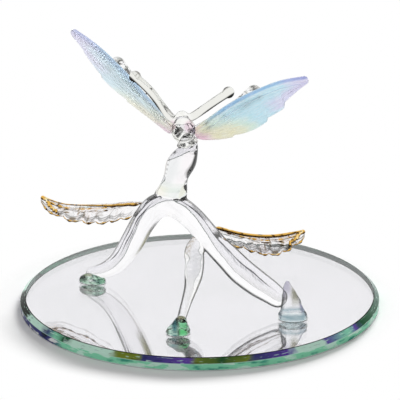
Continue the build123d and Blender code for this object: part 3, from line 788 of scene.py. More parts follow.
def rim_glass(sizes):
    """The cut edge: green glass on its wall, and painted reflections in patches that follow each other round
    the rim, as a bevel breaks up what it shows.
    """
    material, tree, surface = finish_named("cut_edge_glass")
    if tree is None:
        return material
    sea, deep_sea, mint, ink_blue_reflection = sizes.sea[:], sizes.deep_sea[:], sizes.mint[:], sizes.ink_blue_reflection[:]
    place = object_place(tree)
    split = node(tree, "ShaderNodeSeparateXYZ", {"Vector": place})
    height = split.outputs["Z"]
    turn = maths(tree, "ARCTAN2", split.outputs["X"], maths(tree, "MULTIPLY", split.outputs["Y"], -1.0))
    torn = maths(tree, "SUBTRACT", noise(tree, place, 260.0, 3.0), 0.5)
    turned = maths(tree, "MULTIPLY_ADD", torn, 0.16, turn)

    def drawn_out(stretch, scale, detail):
        """A noise that is long round the rim and short up it."""
        up = maths(tree, "MULTIPLY", height, stretch)
        return noise(tree, node(tree, "ShaderNodeCombineXYZ", {"X": turn, "Y": up}).outputs[0], scale, detail)

    # The upright wall: green streaks of the glass, painted black and violet reflections at the left, and
    # painted shade behind
    streak = drawn_out(60.0, 7.0, 4.0)
    green = [(0.38, deep_sea), (0.46, sea), (0.54, sea), (0.58, mint)]
    dusk = [(0.38, sizes.night[:]), (0.46, ink_blue_reflection), (0.56, ink_blue_reflection), (0.62, grey(0.85))]
    left = mapped(tree, maths(tree, "ABSOLUTE", maths(tree, "ADD", turned, 1.35)), 0.55, 0.43)
    wall = blended(
        tree, "MIX", left, ramp(tree, streak, green, "LINEAR"), ramp(tree, streak, dusk, "LINEAR")
    )
    behind = mapped(tree, maths(tree, "ABSOLUTE", turned), 1.8, 2.3)
    wall = blended(tree, "MULTIPLY", behind, wall, grey(0.26))

    # The bevel: its painted reflection patches with pale and dark flecks, a painted highlight along its lower
    # edge and painted shade along its upper one
    around = maths(tree, "MULTIPLY_ADD", turned, 0.5 / math.pi, 0.5)
    stops = [((degrees + 180) / 360, getattr(sizes, tone)[:]) for degrees, tone in BEVEL_PATCHES]
    reflection_fleck = drawn_out(240.0, 16.0, 3.0)
    pale = levels(tree, reflection_fleck, (0.60, 0.0), (0.66, 0.75))
    dark = levels(tree, reflection_fleck, (0.32, 0.7), (0.40, 0.0))
    bevel = blended(tree, "MIX", pale, ramp(tree, around, stops, "LINEAR"), mint)
    bevel = blended(tree, "MULTIPLY", dark, bevel, ink_blue_reflection)
    rise = mapped(tree, height, 1.9 * MM, 3.3 * MM)
    lower = levels(tree, rise, (0.0, 0.9), (0.05, 0.9), (0.12, 0.0), (1.0, 0.0), interpolation="LINEAR")
    bevel = blended(tree, "MIX", lower, bevel, mint)
    rise = mapped(tree, height, 2.8 * MM, 3.25 * MM)
    upper = levels(tree, rise, (0.0, 1.0), (0.62, 1.0), (0.80, 0.06), (1.0, 0.06), interpolation="LINEAR")
    bevel = blended(tree, "MULTIPLY", 1.0, bevel, upper)

    shades = blended(tree, "MIX", mapped(tree, height, 1.85 * MM, 2.0 * MM), wall, bevel)
    roughness = levels(tree, torn, (0.0, 0.02), (0.3, 0.10))
    coat(tree, surface, shades, roughness, {"Transmission Weight": 0.10, "IOR": 1.12})
    return material


def clear_glass(name, start, end, dark=(0.0010, 0.0012, 0.0011), waviness=0.25, cords=0, bend=1.5):
    """Fire-polished clear glass, a little wavy: painted tint with painted light and shade, a painted dark
    outline and fine painted dark lines.
    """
    material, tree, surface = finish_named(name)
    if tree is None:
        return material
    place = object_place(tree)
    cast = node(tree, "ShaderNodeAttribute", attribute_name="cast")
    outline = cast.outputs["Alpha"]
    shade = rim_shade(tree, start, end, dark, outline)
    rim = blended(tree, "MIX", maths(tree, "MINIMUM", outline, 1.0), grey(1.0), shade)
    shaded = blended(tree, "MULTIPLY", 1.0, cast.outputs["Color"], rim)
    thin = maths(tree, "MULTIPLY_ADD", noise(tree, place, 300.0, 2.0), 0.34, -0.17)
    black = [(0.0, (0.004, 0.004, 0.006)), (0.10, (0.012, 0.012, 0.016)), (0.22, grey(1.0))]
    # Painted shade: fine dark lines where the stored lines run
    for painted_dark_line in range(cords):
        gap = maths(tree, "ADD", maths(tree, "ABSOLUTE", stored(tree, f"cord_{painted_dark_line}")), thin)
        shaded = blended(tree, "MULTIPLY", 1.0, shaded, ramp(tree, gap, black, "LINEAR"))
    haze = levels(tree, noise(tree, place, 260.0, 4.0), (0.35, 0.0), (0.75, 0.03))
    coat(tree, surface, shaded, haze, {"Transmission Weight": 1.0, "IOR": bend})
    bumped(tree, surface, noise(tree, place, 420.0, 1.0), 0.10 * MM, waviness)
    return material


def pearly_glass(sizes):
    """Pressed glass in pastel bands from root to tip, cyan along the front edge and lavender at the hem."""
    material, tree, surface = finish_named("pearly_wing_glass")
    if tree is None:
        return material
    root, inner, middle = sizes.root_colour[:], sizes.inner_colour[:], sizes.middle_colour[:]
    outer, far, tip = sizes.outer_colour[:], sizes.far_colour[:], sizes.tip_colour[:]
    blue, light = (0.30, 0.48, 0.78), (0.97, 0.99, 1.0)
    along, across, rod_share = stored(tree, "along"), stored(tree, "across"), stored(tree, "rod_share")
    place = node(tree, "ShaderNodeCombineXYZ", {"X": along, "Y": across}).outputs[0]
    stretched = node(tree, "ShaderNodeMapping", {"Vector": place, "Scale": (2.2, 11.0, 1.0)}).outputs[0]
    streak = noise(tree, stretched, 1.6, 4.0)

    # Bands: one run of colours along the front edge and one along the hem
    slant = maths(tree, "MULTIPLY_ADD", across, -0.20, maths(tree, "ADD", along, 0.08))
    wander = maths(tree, "MULTIPLY_ADD", maths(tree, "SUBTRACT", streak, 0.5), 0.40, slant)
    front = [
        (0.02, root), (0.10, inner), (0.22, middle), (0.36, outer), (0.82, outer), (0.93, far), (1.0, tip),
    ]
    hem = [
        (0.00, root), (0.08, inner), (0.22, inner), (0.34, middle), (0.46, outer), (0.56, outer), (0.68, far),
        (0.95, tip),
    ]
    down = maths(tree, "MULTIPLY_ADD", streak, 0.5, maths(tree, "SUBTRACT", across, 0.25))
    lower = levels(tree, down, (0.36, 0.0), (0.62, 1.0))
    bands = blended(tree, "MIX", lower, ramp(tree, wander, front), ramp(tree, wander, hem))

    # Milky streaks, painted blue shade along and behind the thick front edge, and a painted highlight on it
    pale = levels(tree, noise(tree, stretched, 7.0, 3.0), (0.42, 0.05), (0.66, 0.65))
    paler = maths(tree, "MAXIMUM", pale, stored(tree, "paleness"))
    milky = blended(tree, "MIX", paler, bands, (0.95, 0.96, 1.0))
    off_root = mapped(tree, along, 0.04, 0.20, "SMOOTHSTEP")
    edge = [
        (0.0, (0.62, 0.70, 0.92)), (0.14, grey(1.0)), (0.60, grey(1.0)), (0.68, blue), (0.78, blue),
        (0.90, grey(1.0)),
    ]
    line = ramp(tree, rod_share, edge, "LINEAR")
    tinted = blended(tree, "MULTIPLY", maths(tree, "MULTIPLY", off_root, 0.8), milky, line)
    lit = (0.84, 0.0), (0.917, 0.95), (0.92, 0.95), (1.0, 0.0)
    glint = maths(tree, "MULTIPLY", levels(tree, rod_share, *lit, interpolation="LINEAR"), off_root)
    shades = blended(tree, "MIX", glint, tinted, light)
    constants = {"Transmission Weight": 0.88, "IOR": 1.22, "Coat Weight": 0.5, "Coat Roughness": 0.04}
    coat(tree, surface, shades, levels(tree, streak, (0.3, 0.28), (0.8, 0.36)), constants)
    bumped(tree, surface, noise(tree, stretched, 1.6, 0.0), 0.05 * MM, 0.5)
    return material


def fired_gold(sizes):
    """Bright gold fired on glass, thin and browner where it is worn, with painted brown shade below and
    painted highlights in pale gold.
    """
    material, tree, surface = finish_named("fired_gold")
    if tree is None:
        return material
    place = object_place(tree)
    worn = noise(tree, place, 480.0, 4.0)
    bright, brown = sizes.gold[:], sizes.worn_gold[:]
    # Worn brown patches, gold and painted highlights in pale gold, all by one grain
    shades = [(0.34, brown), (0.44, bright), (0.56, bright), (0.66, sizes.pale_gold[:])]
    # Painted shade: brown where the gold faces down
    normal = node(tree, "ShaderNodeNewGeometry").outputs["Normal"]
    upward = node(tree, "ShaderNodeSeparateXYZ", {"Vector": normal}).outputs["Z"]
    shaded = blended(tree, "MIX", mapped(tree, upward, 0.0, 0.55), brown, ramp(tree, worn, shades, "LINEAR"))
    coat(tree, surface, shaded, levels(tree, worn, (0.3, 0.32), (0.7, 0.10)), {"Metallic": 1.0})
    bumped(tree, surface, noise(tree, place, 1100.0, 3.0), 0.08 * MM, 0.8)
    return material


# Painted tint, light and shade


def set_tint_and_painted_light(piece, colours, outline=1.0):
    """Stores the glass's tint with its painted light and shade on each vertex, and how dark its painted
    outline is.
    """
    count = len(piece.data.vertices)
    colours = np.broadcast_to(np.asarray(colours, float), (count, 3))
    outline = np.clip(np.broadcast_to(np.asarray(outline, float), (count,)), 0, 3)
    rows = np.column_stack([np.clip(colours, 1e-5, 1), outline]).astype(np.float32)
    cast = piece.data.color_attributes.new("cast", "FLOAT_COLOR", "POINT")
    cast.data.foreach_set("color", rows.ravel())


def within(values, start, end, soft):
    """One between start and end, falling softly to nought outside."""
    return 1 / (1 + np.exp(-(values - start) / soft)) / (1 + np.exp((values - end) / soft))


def toward(colours, share, cast):
    """Mixes colours towards a tint or a painted tone of light or shade by a share per row."""
    share = np.clip(share, 0, 1)[:, None]
    return colours * (1 - share) + np.array(cast) * share


def painted(cast, held, along, across, marks):
    """Lays marks of tint or painted light and shade over a tint in turn: each its reach along and across, its
    strength and its tone.
    """
    for reach, sides, strength, tone in marks:
        cast = toward(cast, held * within(along, *reach) * within(across, *sides) * strength, tone)
    return cast


def rod_marks(places, line):
    """Share along a line, shares of the radius to its outer side and front, and the gap to its skin."""
    found = nearest(places, line[:, :3])
    along = found / (len(line) - 1)
    way = unit(np.gradient(line[:, :3], axis=0))[found]
    out = places - line[found, :3]
    out = out - way * np.sum(out * way, axis=1, keepdims=True)
    viewer = np.array([0, -1.0, 0.32])
    front = unit(viewer - way * np.sum(way * viewer, axis=1, keepdims=True))
    side = np.cross(front, way)
    radius = line[found, 3]
    across, ahead = np.sum(out * side, axis=1) / radius, np.sum(out * front, axis=1) / radius
    return along, across, ahead, np.abs(np.linalg.norm(out, axis=1) - radius)


# Places on the branch and the butterfly


def branch_place(branch, shares):
    """A place on the branch from its shares of reach, depth and height."""
    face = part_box("mirror_glass")[1].z
    return np.array([branch.reach * shares[0], branch.depth * shares[1], face + branch.height * shares[2]])


def arch_line(branch):
    """Stations of the arch as x, y, z and radius."""
    return np.array([[*branch_place(branch, row), branch.rod_radius * row[3]] for row in ARCH_STATIONS])


def stem_line(branch):
    """Centres of the stub's sections and its half widths."""
    crown = branch_place(branch, ARCH_STATIONS[CROWN_STATION])
    rows = []
    for rise, lean, forward, wide, deep in STEM_STATIONS:
        centre = crown + np.array([lean, forward, rise]) * branch.stem_height
        rows.append([*centre, branch.stem_radius * wide, branch.stem_radius * deep])
    return np.array(rows)


def thorax_centre(scene):
    """The thorax's centre over the stub's top."""
    perch = stem_line(scene.ornament_branch)[-1, :3]
    return perch + np.array([-0.39, -0.06, 1.46]) * scene.ornament_butterfly.thorax_radius


def wing_frame(root, side, lift, sweep, tilt):
    """Root, span way, hem way and face way of a wing."""
    lifted, swept, tilted = (math.radians(a) for a in (lift, sweep, tilt))
    span_way = np.array(
        [side * math.cos(lifted) * math.cos(swept), math.cos(lifted) * math.sin(swept), math.sin(lifted)]
    )
    hem = np.array([0, math.sin(tilted), -math.cos(tilted)])
    face_way = unit(np.cross(span_way, hem))
    return root, span_way, np.cross(face_way, span_way), face_way


def arc_rows(start, crest, end):
    """Points on the circle arc through three points of a plane."""
    count = 24
    (ax, ay), (bx, by), (cx, cy) = start, crest, end
    turn = 2 * (ax * (by - cy) + bx * (cy - ay) + cx * (ay - by))
    if abs(turn) < 1e-14:
        return np.linspace(start, end, count)
    a2, b2, c2 = ax * ax + ay * ay, bx * bx + by * by, cx * cx + cy * cy
    middle_x = (a2 * (by - cy) + b2 * (cy - ay) + c2 * (ay - by)) / turn
    middle_y = (a2 * (cx - bx) + b2 * (ax - cx) + c2 * (bx - ax)) / turn
    radius = math.hypot(ax - middle_x, ay - middle_y)
    angles = [math.atan2(y - middle_y, x - middle_x) for x, y in (start, crest, end)]
    whole = (angles[2] - angles[0]) % math.tau
    part = (angles[1] - angles[0]) % math.tau
    if part > whole:
        whole -= math.tau
    turns = angles[0] + np.linspace(0, whole, count)
    return np.array([middle_x, middle_y]) + radius * np.column_stack([np.cos(turns), np.sin(turns)])


def wing_piece(name, wing, span, chord, nose, edge, sections, lobes, ribs, rib_depth, paleness):
    """A blade with a thick round front edge, pressed ribs, a stepped hem and a round tip."""
    root, span_way, hem_way, face_way = wing
    table = np.array(sections)
    hem = np.concatenate([arc_rows(*[(a * span, b * chord) for a, b in lobe]) for lobe in lobes])
    along = np.linspace(0, 1, 170)
    front, _, nose_share = curve_through(table[:, 0], table[:, 1:], along).T
    front, nose_radius = front * chord, nose * nose_share
    back = np.interp(along * span, hem[:, 0], hem[:, 1])
    root_ease = np.clip(along / 0.05, 0, 1)
    back = front + (back - front) * (0.72 + 0.28 * np.sqrt(root_ease * (2 - root_ease)))
    across = (1 - np.cos(np.linspace(0, math.pi, 56))) / 2
    rings, marks = [], []
    for share_along, near, far, radius in zip(along, front, back, nose_radius):
        width = max(far - near, 2.02 * radius)
        depth = across * width
        round_edge = np.sqrt(np.clip(radius**2 - (depth - radius) ** 2, 0, None))
        blade = edge / 2 + (radius - edge / 2) * 0.62 * (1 - across)
        skirt = np.clip((width - depth) / (edge / 2), 0, 1)
        hem_round = np.sqrt(skirt * (2 - skirt))
        half = np.where(depth < radius, round_edge, np.maximum(round_edge, blade)) * hem_round
        press = np.clip((depth - 1.6 * radius) / (2 * radius), 0, 1) * hem_round
        half = half + rib_depth * press * np.sin(across * ribs * math.tau)
        middle = root + span_way * span * share_along + np.outer(near + depth, hem_way)
        upper, lower = middle + np.outer(half, face_way), middle - np.outer(half, face_way)
        rings.append(there_and_back(upper, lower))
        mark = np.column_stack([np.full(len(across), share_along), across, depth / radius / 2])
        marks.append(there_and_back(mark, mark))
    tip_radius = max(back[-1] - front[-1], 2 * nose_radius[-1]) / 2
    rings += dome(rings[-1], span_way * tip_radius * 0.80, 12, 0.02)
    marks += [marks[-1] + [0.02 * bend, 0, 0] for bend in np.linspace(0, math.pi / 2, 12)[1:]]
    piece = loft(name, rings)
    places, _ = vertex_rows(piece)
    marks = np.concatenate(marks)[nearest(places, np.concatenate(rings))]
    for mark, values in zip(("along", "across", "rod_share"), marks.T):
        set_share(piece, mark, np.clip(values, 0, 2))
    set_share(piece, "paleness", np.full(len(places), paleness))
    return piece, marks[:, 0], marks[:, 1]


def leaf_frame(root, heading):
    """Root, length way, back way and up of a leaf."""
    turn = math.radians(heading)
    way = np.array([math.cos(turn), math.sin(turn), 0])
    return root, way, np.array([-way[1], way[0], 0]), np.array([0, 0, 1.0])


def leaf_width(corners, size, half_width, along):
    """Half width of a leaf at shares of its length, with a round scallop between corners."""
    arcs = []
    for (a, b), (c, d) in zip(corners, corners[1:]):
        start, end = np.array([a * size, b * half_width]), np.array([c * size, d * half_width])
        side = unit(np.array([start[1] - end[1], end[0] - start[0]]))
        crest = (start + end) / 2 + side * half_width * SCALLOP_BULGE
        arcs.append(arc_rows(tuple(start), tuple(crest), tuple(end)))
    rows = np.concatenate(arcs)
    return np.interp(along * size, rows[:, 0], rows[:, 1])


def leaf_skin(leaf, side, size, half_width, drop, sections, corners, sizes, along, across):
    """Places on a leaf's middle surface for shares along its length and across its width."""
    root, way, back_way, up = leaf
    table = np.array(sections)
    sag, back_share = curve_through(table[:, 0], table[:, 2:], along).T
    width = leaf_width(corners, size, half_width, along)
    fall = math.tan(sizes.front_slope)
    offset = across * width * np.where(across > 0, 1.0, sizes.back_share)
    steep = np.where(across > 0, 1.0, np.clip(back_share, 0, 1))
    height = -np.abs(offset) * fall * steep - drop * sag
    base = root + np.outer(along * size, way)
    return base + np.outer(side * offset, back_way) + np.outer(height, up)


def lobe_of(along, across, corners):
    """The scallop that a place lies on, as a number that is whole at the corners."""
    starts = [corner[0] for corner in corners]
    return np.interp(along - 0.05 * np.abs(across), starts, np.arange(len(starts)))


def leaf_piece(name, leaf, side, size, half_width, drop, sections, corners, sizes):
    """A pressed leaf: a ridge, feather lines from ridge to hem, and scallops."""
    across = np.linspace(-1, 1, 71)
    off = np.abs(across)
    rings, marks = [], []
    for a in np.linspace(0.0, 1.0, 260):
        along = np.full(len(across), a)
        skin = leaf_skin(leaf, side, size, half_width, drop, sections, corners, sizes, along, across)
        lobe = lobe_of(a, across, corners)
        pillow = np.abs(np.sin(lobe * math.pi)) ** 0.6
        barbs = np.abs(np.sin(lobe * 1.7 * math.pi + 2.2 * np.sin(a * 23) + across * 1.5))
        tier = 0.5 + 0.5 * np.tanh((off - 0.50 - 0.10 * pillow) * 18)
        ridge = np.exp(-((across * half_width / sizes.ridge_radius) ** 2) * 1.4)
        body = sizes.edge_thickness / 2 * (1 - 0.35 * tier)
        half = body + (sizes.ridge_radius - body) * ridge
        half = half + sizes.rib_depth * np.clip(off * 1.6, 0, 1) * (0.5 * pillow + 0.25 * barbs - 0.45)
        edge = np.clip((1 - off) * 6, 0, 1)
        end = np.clip(np.minimum(a, 1 - a) * 45, 0.05, 1)
        half = np.maximum(half, 0.18 * MM) * np.sqrt(edge * (2 - edge)) * end
        upper, lower = skin + np.outer(half, [0, 0, 1]), skin - np.outer(half, [0, 0, 1])
        rings.append(there_and_back(upper, lower))
        mark = np.column_stack([along, across])
        marks.append(there_and_back(mark, mark))
    piece = loft(name, rings)
    places, _ = vertex_rows(piece)
    mark_leaf(piece, *np.concatenate(marks)[nearest(places, np.concatenate(rings))].T, corners)
    return piece


def mark_leaf(piece, along, across, corners):
    """Painted light and shade on a leaf's front half: grey and dark facets, painted gold that shows through,
    shade in the creases and a dark line along an inner hem.
    """
    ripple = 2.2 * np.sin(along * 21 + across * 3)
    facet = np.sin(along * 58 - across * 4 + ripple) * np.sin(across * 5 + along * 19 + 1.3)
    cell = np.sin(along * 37 + across * 7 + 1.9 * np.sin(along * 43)) * np.sin(across * 8 - along * 27)
    lobe = np.abs(np.sin(lobe_of(along, across, corners) * math.pi))
    dense = (0.10 + 0.90 * within(along, 0.40, 2, 0.10)) * within(across, -0.05, 2, 0.02)
    crease_shade = within(lobe, -1, 0.12, 0.03) * within(across, 0.50, 2, 0.05)
    inner = within(np.abs(across - 0.60 - 0.16 * lobe), -1, 0.04, 0.012) * within(along, 0.10, 2, 0.03)
    cast = np.ones((len(along), 3)) * (0.975, 0.97, 0.98)
    for held, tone in (
        (within(facet, 0.60, 2, 0.04) * dense * 0.5, (0.50, 0.49, 0.46)),
        (within(cell, 0.50, 2, 0.04) * dense * 0.6, (0.90, 0.74, 0.70)),
        (within(facet, -2, -0.62, 0.04) * dense, (0.13, 0.075, 0.018)),
        (within(np.abs(facet - 0.38), -1, 0.045, 0.012) * dense, grey(0.004)),
        (crease_shade * 0.9, (0.03, 0.028, 0.02)),
        (inner * 0.9, (0.03, 0.026, 0.016)),
    ):
        cast = toward(cast, held, tone)
    set_tint_and_painted_light(piece, cast, 0.25 + 0.45 * within(along, 0.3, 2, 0.1))


def gold_lines(name, shape, gold):
    """Gold on a leaf's ridge, on its tip and along both scalloped hems, thinner where it is worn."""
    corners, sizes = shape[6:]
    left = shape[1] > 0
    lines = []

    def laid(along, off, rise=0.0):
        """Places on the leaf, a little above it."""
        return leaf_skin(*shape[:7], sizes, along, off) + np.array([0, 0, rise])

    for across, start, radius in (
        (0.0, 0.06, sizes.gold_ridge), (0.97, 0.05, sizes.gold_line), (-0.97, 0.05, sizes.gold_line),
    ):
        along = np.linspace(start, 0.995, 220)
        if across:
            line = laid(along, np.full(len(along), across))
            bulge = np.abs(np.sin(lobe_of(along, 0, corners) * math.pi)) ** 1.2
            wear = 0.22 + 0.78 * bulge * (0.6 + 0.4 * np.sin(along * 90))
        else:
            lean = 0.22 * np.clip(1 - along / 0.6, 0, 1) if left else np.zeros(len(along))
            line = laid(along, lean, sizes.ridge_radius * 0.75)
            thick = within(along, -1, 0.42, 0.08) if left else within(along, -1, 0.90, 0.03)
            wear = 0.34 + 0.66 * thick + 0.25 * within(along, 0.93, 2, 0.02)
        taper = np.clip(np.minimum(along - start, 1 - along) * 30, 0.15, 1)
        lines.append(rod("gold_line", line[::2], (radius * wear * np.sqrt(taper))[::2], gold, sides=16))
    for start, end, near, far in ((0.90, 0.99, 0.35, 0.05), (0.80, 0.92, 0.75, 0.45)):
        along = np.linspace(start, end, 24)
        line = laid(along, np.linspace(near, far, 24) + 0.10 * np.sin(along * 190), 0.35 * MM)
        lines.append(rod("gold_line", line, np.full(24, sizes.gold_line), gold, sides=16))
    tip = laid(np.array([0.99]), np.array([0.0]), 0.3 * MM)[0]
    lines.append(ball("gold_tip", tip, 0.66 * MM))
    return fuse(name, lines, 0.10 * MM, 2)


# Operators


class MirrorBase(bpy.types.Operator):
    """Builds the bevelled mirror: its glass, and the finishes of silvering, backing and adhesive"""

    bl_idname = "ornament.mirror_base"
    bl_label = "Mirror base"

    def execute(self, context):
        sizes = context.scene.ornament_mirror
        low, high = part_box("mirror_glass")
        # Just clear of the silvering below and of the adhesive films above
        radius, arris, top, bottom = min(high.x, -low.x), sizes.arris, high.z - 0.004 * MM, low.z + 0.01 * MM
        rim_height = high.z - sizes.bevel_drop
        inner = radius - sizes.bevel_width
        profile = [
            (0.0, bottom),
            (inner, bottom),
            (radius - arris, bottom),
            (radius, bottom + arris),
            (radius, rim_height - arris / 2),
            (radius - arris / 2, rim_height + arris / 3),
            (inner + arris / 2, top - arris / 3),
            (inner - arris / 2, top),
            (inner - 2 * arris, top),
            (0.0, top),
        ]
        right, back, hub = (1.0, 0, 0), (0, 1.0, 0), 0.5 * MM
        rings = [oval((0, 0, z), right, back, max(r, hub), max(r, hub), 360) for r, z in profile]
        piece = loft("bevelled_mirror_glass", rings)
        piece.data.set_sharp_from_angle(angle=math.radians(18))
        finished(piece, plain_finish("plate_glass"), "mirror_plate_glass", "mirror_glass")
        piece.data.materials.append(rim_glass(sizes))
        for polygon in piece.data.polygons:
            out, up = math.hypot(polygon.center.x, polygon.center.y), polygon.center.z
            polygon.material_index = int(out > inner - arris / 2 and up > bottom + arris / 4)
        dress("mirror_silvering", plain_finish("silvering"))
        dress("mirror_backing", plain_finish("backing_paint"))
        for film in ("left_foot_adhesive", "right_foot_adhesive", "front_foot_adhesive"):
            dress(film, plain_finish("cured_adhesive"))
        return {"FINISHED"}


class GlassBranch(bpy.types.Operator):
    """Builds the fused clear glass branch: arch, front leg and stub"""

    bl_idname = "ornament.glass_branch"
    bl_label = "Glass branch"

    def execute(self, context):
        sizes = context.scene.ornament_branch
        glass = clear_glass("clear_branch_glass", start=0.58, end=0.76, cords=3)
        arch, stem = arch_line(sizes), stem_line(sizes)
        front = np.array(
            [[*branch_place(sizes, row), sizes.front_leg_radius * row[3]] for row in FRONT_LEG_STATIONS]
        )
        parts = [
            rod("arch", arch[:, :3], arch[:, 3], glass),
            rod("front_rod", front[:, :3], front[:, 3], glass),
            ball("ankle", arch[0, :3], arch[0, 3]),
            ball("front_top", front[0, :3], front[0, 3]),
            ball("knee", arch[-1, :3], arch[-1, 3] * 0.97),
        ]
        way = arch[CROWN_STATION + 1, :2] - arch[CROWN_STATION - 1, :2]
        way = unit(np.array([*way, 0.0]))
        aside = np.array([-way[1], way[0], 0.0])
        rings = [oval(row[:3], way, aside, *row[3:], 64) for row in path_through(stem, 50)]
        rings += dome(rings[-1], (0, 0, sizes.stem_radius), 9, 0.03)
        parts.append(loft("stub", rings))
        piece = fuse("branch_glass", parts, sizes.pitch, 6)
        mark_branch(piece, arch, front, stem, sizes)
        legs = ("left_leg", "branch_crown", "right_leg", "front_leg", "branch_stem")
        finished(piece, glass, "clear_glass", *legs)
        return {"FINISHED"}


def mark_branch(piece, arch, front, stem, sizes):
    """Presses the drawn lines into the branch, and stores its painted dark lines, its tint with painted light
    and shade, and its painted outlines.
    """
    places, normals = vertex_rows(piece)
    along, across, ahead, arch_gap = rod_marks(places, path_through(arch, 400))
    down, aside, _, front_gap = rod_marks(places, path_through(front, 200))
    _, lateral, _, stem_gap = rod_marks(places, path_through(stem[:, :4], 100))
    crown = branch_place(sizes, ARCH_STATIONS[CROWN_STATION])[2]
    owner = np.argmin([arch_gap, front_gap * 1.02, stem_gap * 0.8], axis=0)
    above = places[:, 2] > crown + arch[CROWN_STATION, 3] * 0.9
    owner = np.where(above, 2, np.where(owner == 2, 0, owner))
    on_arch, on_front, on_stem = ((owner == i).astype(float) for i in range(3))
    seen = within(ahead, 0.0, 5.0, 0.05)

    # Three drawn lines on the arch, pressed in and also painted dark as shade: how far each lies to the outer
    # side, and its reach along the arch
    wave = 0.05 * np.sin(along * 23) + 0.03 * np.sin(along * 51 + 1)
    lines = (
        (0.66 - 0.25 * np.clip(along - 0.45, 0, 1) * 2.2 + wave, (0.10, 0.98, 0.01)),
        (0.42 + wave * 1.4 - 0.1 * along, (0.16, 0.50, 0.015)),
        (0.22 + 0.6 * np.clip(along - 0.25, 0, 0.3) + wave * 0.6, (0.20, 0.47, 0.02)),
    )
    rod_gauge, line_width, left_out = 3.4, 0.28, 4
    press = np.zeros(len(places))
    for painted_dark_line, (centre, reach) in enumerate(lines):
        gap = (across - centre) * rod_gauge
        held = within(along, *reach) * seen
        press += np.exp(-((gap / line_width) ** 2)) * held
        set_share(piece, f"cord_{painted_dark_line}", np.sign(gap) * (np.abs(gap) + (1 - held * on_arch) * left_out))

    # Short dashes down the right leg, pressed in and later painted dark as shade
    dashes = np.exp(-(((across - 0.30 - 0.06 * np.sin(along * 60)) / 0.10) ** 2))
    dashes *= 0.5 + 0.5 * np.sin(along * 330 + across * 25 + 2.5 * np.sin(along * 120))
    dashes *= within(along, 0.74, 0.93, 0.008) * seen * on_arch
    press += dashes * 1.3
    set_places(piece, places - normals * (press * on_arch * sizes.rib_depth)[:, None])

    # Arch: a faint lilac tint, then painted shade: olive and black under the left leg, black at the left
    # ankle and its dark outer side, black and grey lines past the crown, and the dark dashes
    cast, outline = np.ones((len(places), 3)), np.ones(len(places))
    cast = painted(cast, on_arch, along, across, (
        (ALL, ALL, 0.25, (0.95, 0.93, 0.97)),
        ((0.225, 0.37, 0.01), (-2, -0.76, 0.03), 1, (0.10, 0.10, 0.03)),
        ((0.33, 0.405, 0.01), (-2, -0.80, 0.03), 1, PAINTED_BLACK),
        ((0.02, 0.10, 0.01), (0.80, 2, 0.03), 1, grey(0.002)),
        ((0.10, 0.40, 0.02), (0.86, 2, 0.03), 0.9, (0.02, 0.02, 0.03)),
        ((0.585, 0.645, 0.004), (0.66, 2, 0.03), 1, PAINTED_BLACK),
        ((0.585, 0.645, 0.004), (0.80, 0.88, 0.03), 1, grey(0.7)),
        (ALL, ALL, dashes * 0.85, (0.03, 0.03, 0.05)),
    ))

    # Front leg: warm speckles at its top and cool flecks below
    speckle = 0.5 + 0.5 * np.sin(down * 190 + 4 * np.sin(aside * 9)) * np.sin(aside * 14 + down * 60)
    cast = painted(cast, on_front * speckle, down, aside, (
        ((-1, 0.24, 0.02), (-2, -0.40, 0.06), 1, (0.35, 0.24, 0.10)),
        ((0.16, 0.50, 0.02), (-0.25, 0.45, 0.08), 0.4, (0.2, 0.22, 0.28)),
    ))

    # Stub: painted grey and rose light, a painted black shade on its left side that swells, painted dark and
    # brown lines at the right, a green foot
    up = (places[:, 2] - crown) / sizes.stem_height
    swell = np.clip(1 - ((up - 0.72) / 0.26) ** 2, 0, 1)
    strand = np.clip(np.sin(up * 80) * 3, 0, 1)
    cast = painted(cast, on_stem, up, lateral, (
        ((0.36, 1, 0.02), (0.05, 0.75, 0.08), 0.8, (0.78, 0.80, 0.81)),
        ((0.36, 1, 0.02), (-0.7, -0.05, 0.08), 1, (0.96, 0.92, 0.94)),
        ((0.47, 0.95, 0.008), (-2, -(1.0 - 0.22 * swell), 0.02), 1, PAINTED_BLACK),
        ((0.42, 0.47, 0.005), (-2, -0.78, 0.02), 1, PAINTED_BLACK),
        ((0.55, 0.92, 0.01), (0.76, 0.85, 0.02), strand, (0.004, 0.003, 0.002)),
        ((0.42, 0.90, 0.02), (0.91, 2, 0.01), 0.9, (0.34, 0.24, 0.15)),
        ((0.90, 0.95, 0.004), (0.60, 2, 0.02), 1, PAINTED_BLACK),
        ((-1, 0.35, 0.01), ALL, 1, (0.80, 0.86, 0.82)),
        ((-1, 0.35, 0.01), (0.3, 2, 0.1), 1, (0.90, 0.87, 0.72)),
    ))

    # Painted dark outlines: weaker on the left leg and the stub's foot, stronger where the photograph's glass
    # is darkest
    for held, place, reach, sideways, sides, change in (
        (on_arch, along, (0.38, 0.66, 0.02), across, (-3, -0.2, 0.05), -1),
        (on_arch, along, (-1, 0.25, 0.01), across, (-3, 0.1, 0.05), -1),
        (on_arch, along, (-1, 0.05, 0.01), across, ALL, -1),
        (on_arch, along, (0.645, 1.1, 0.01), across, (0.2, 2, 0.05), 0.5),
        (on_arch, along, (0.70, 1.1, 0.01), across, (-2, -0.2, 0.05), 1),
        (on_front, down, (0.50, 0.97, 0.01), aside, (-2, -0.2, 0.05), 1.2),
        (on_front, down, (0.12, 0.95, 0.02), aside, (0.2, 2, 0.05), 0.6),
        (on_stem, up, ALL, lateral, ALL, -0.4),
        (on_stem, up, (-1, 0.36, 0.01), lateral, ALL, -0.6),
        (on_stem, up, (0.47, 0.95, 0.008), lateral, (-2, -0.3, 0.03), 0.4 + 1.6 * swell),
    ):
        outline += held * within(place, *reach) * within(sideways, *sides) * change
    set_tint_and_painted_light(piece, cast, outline)


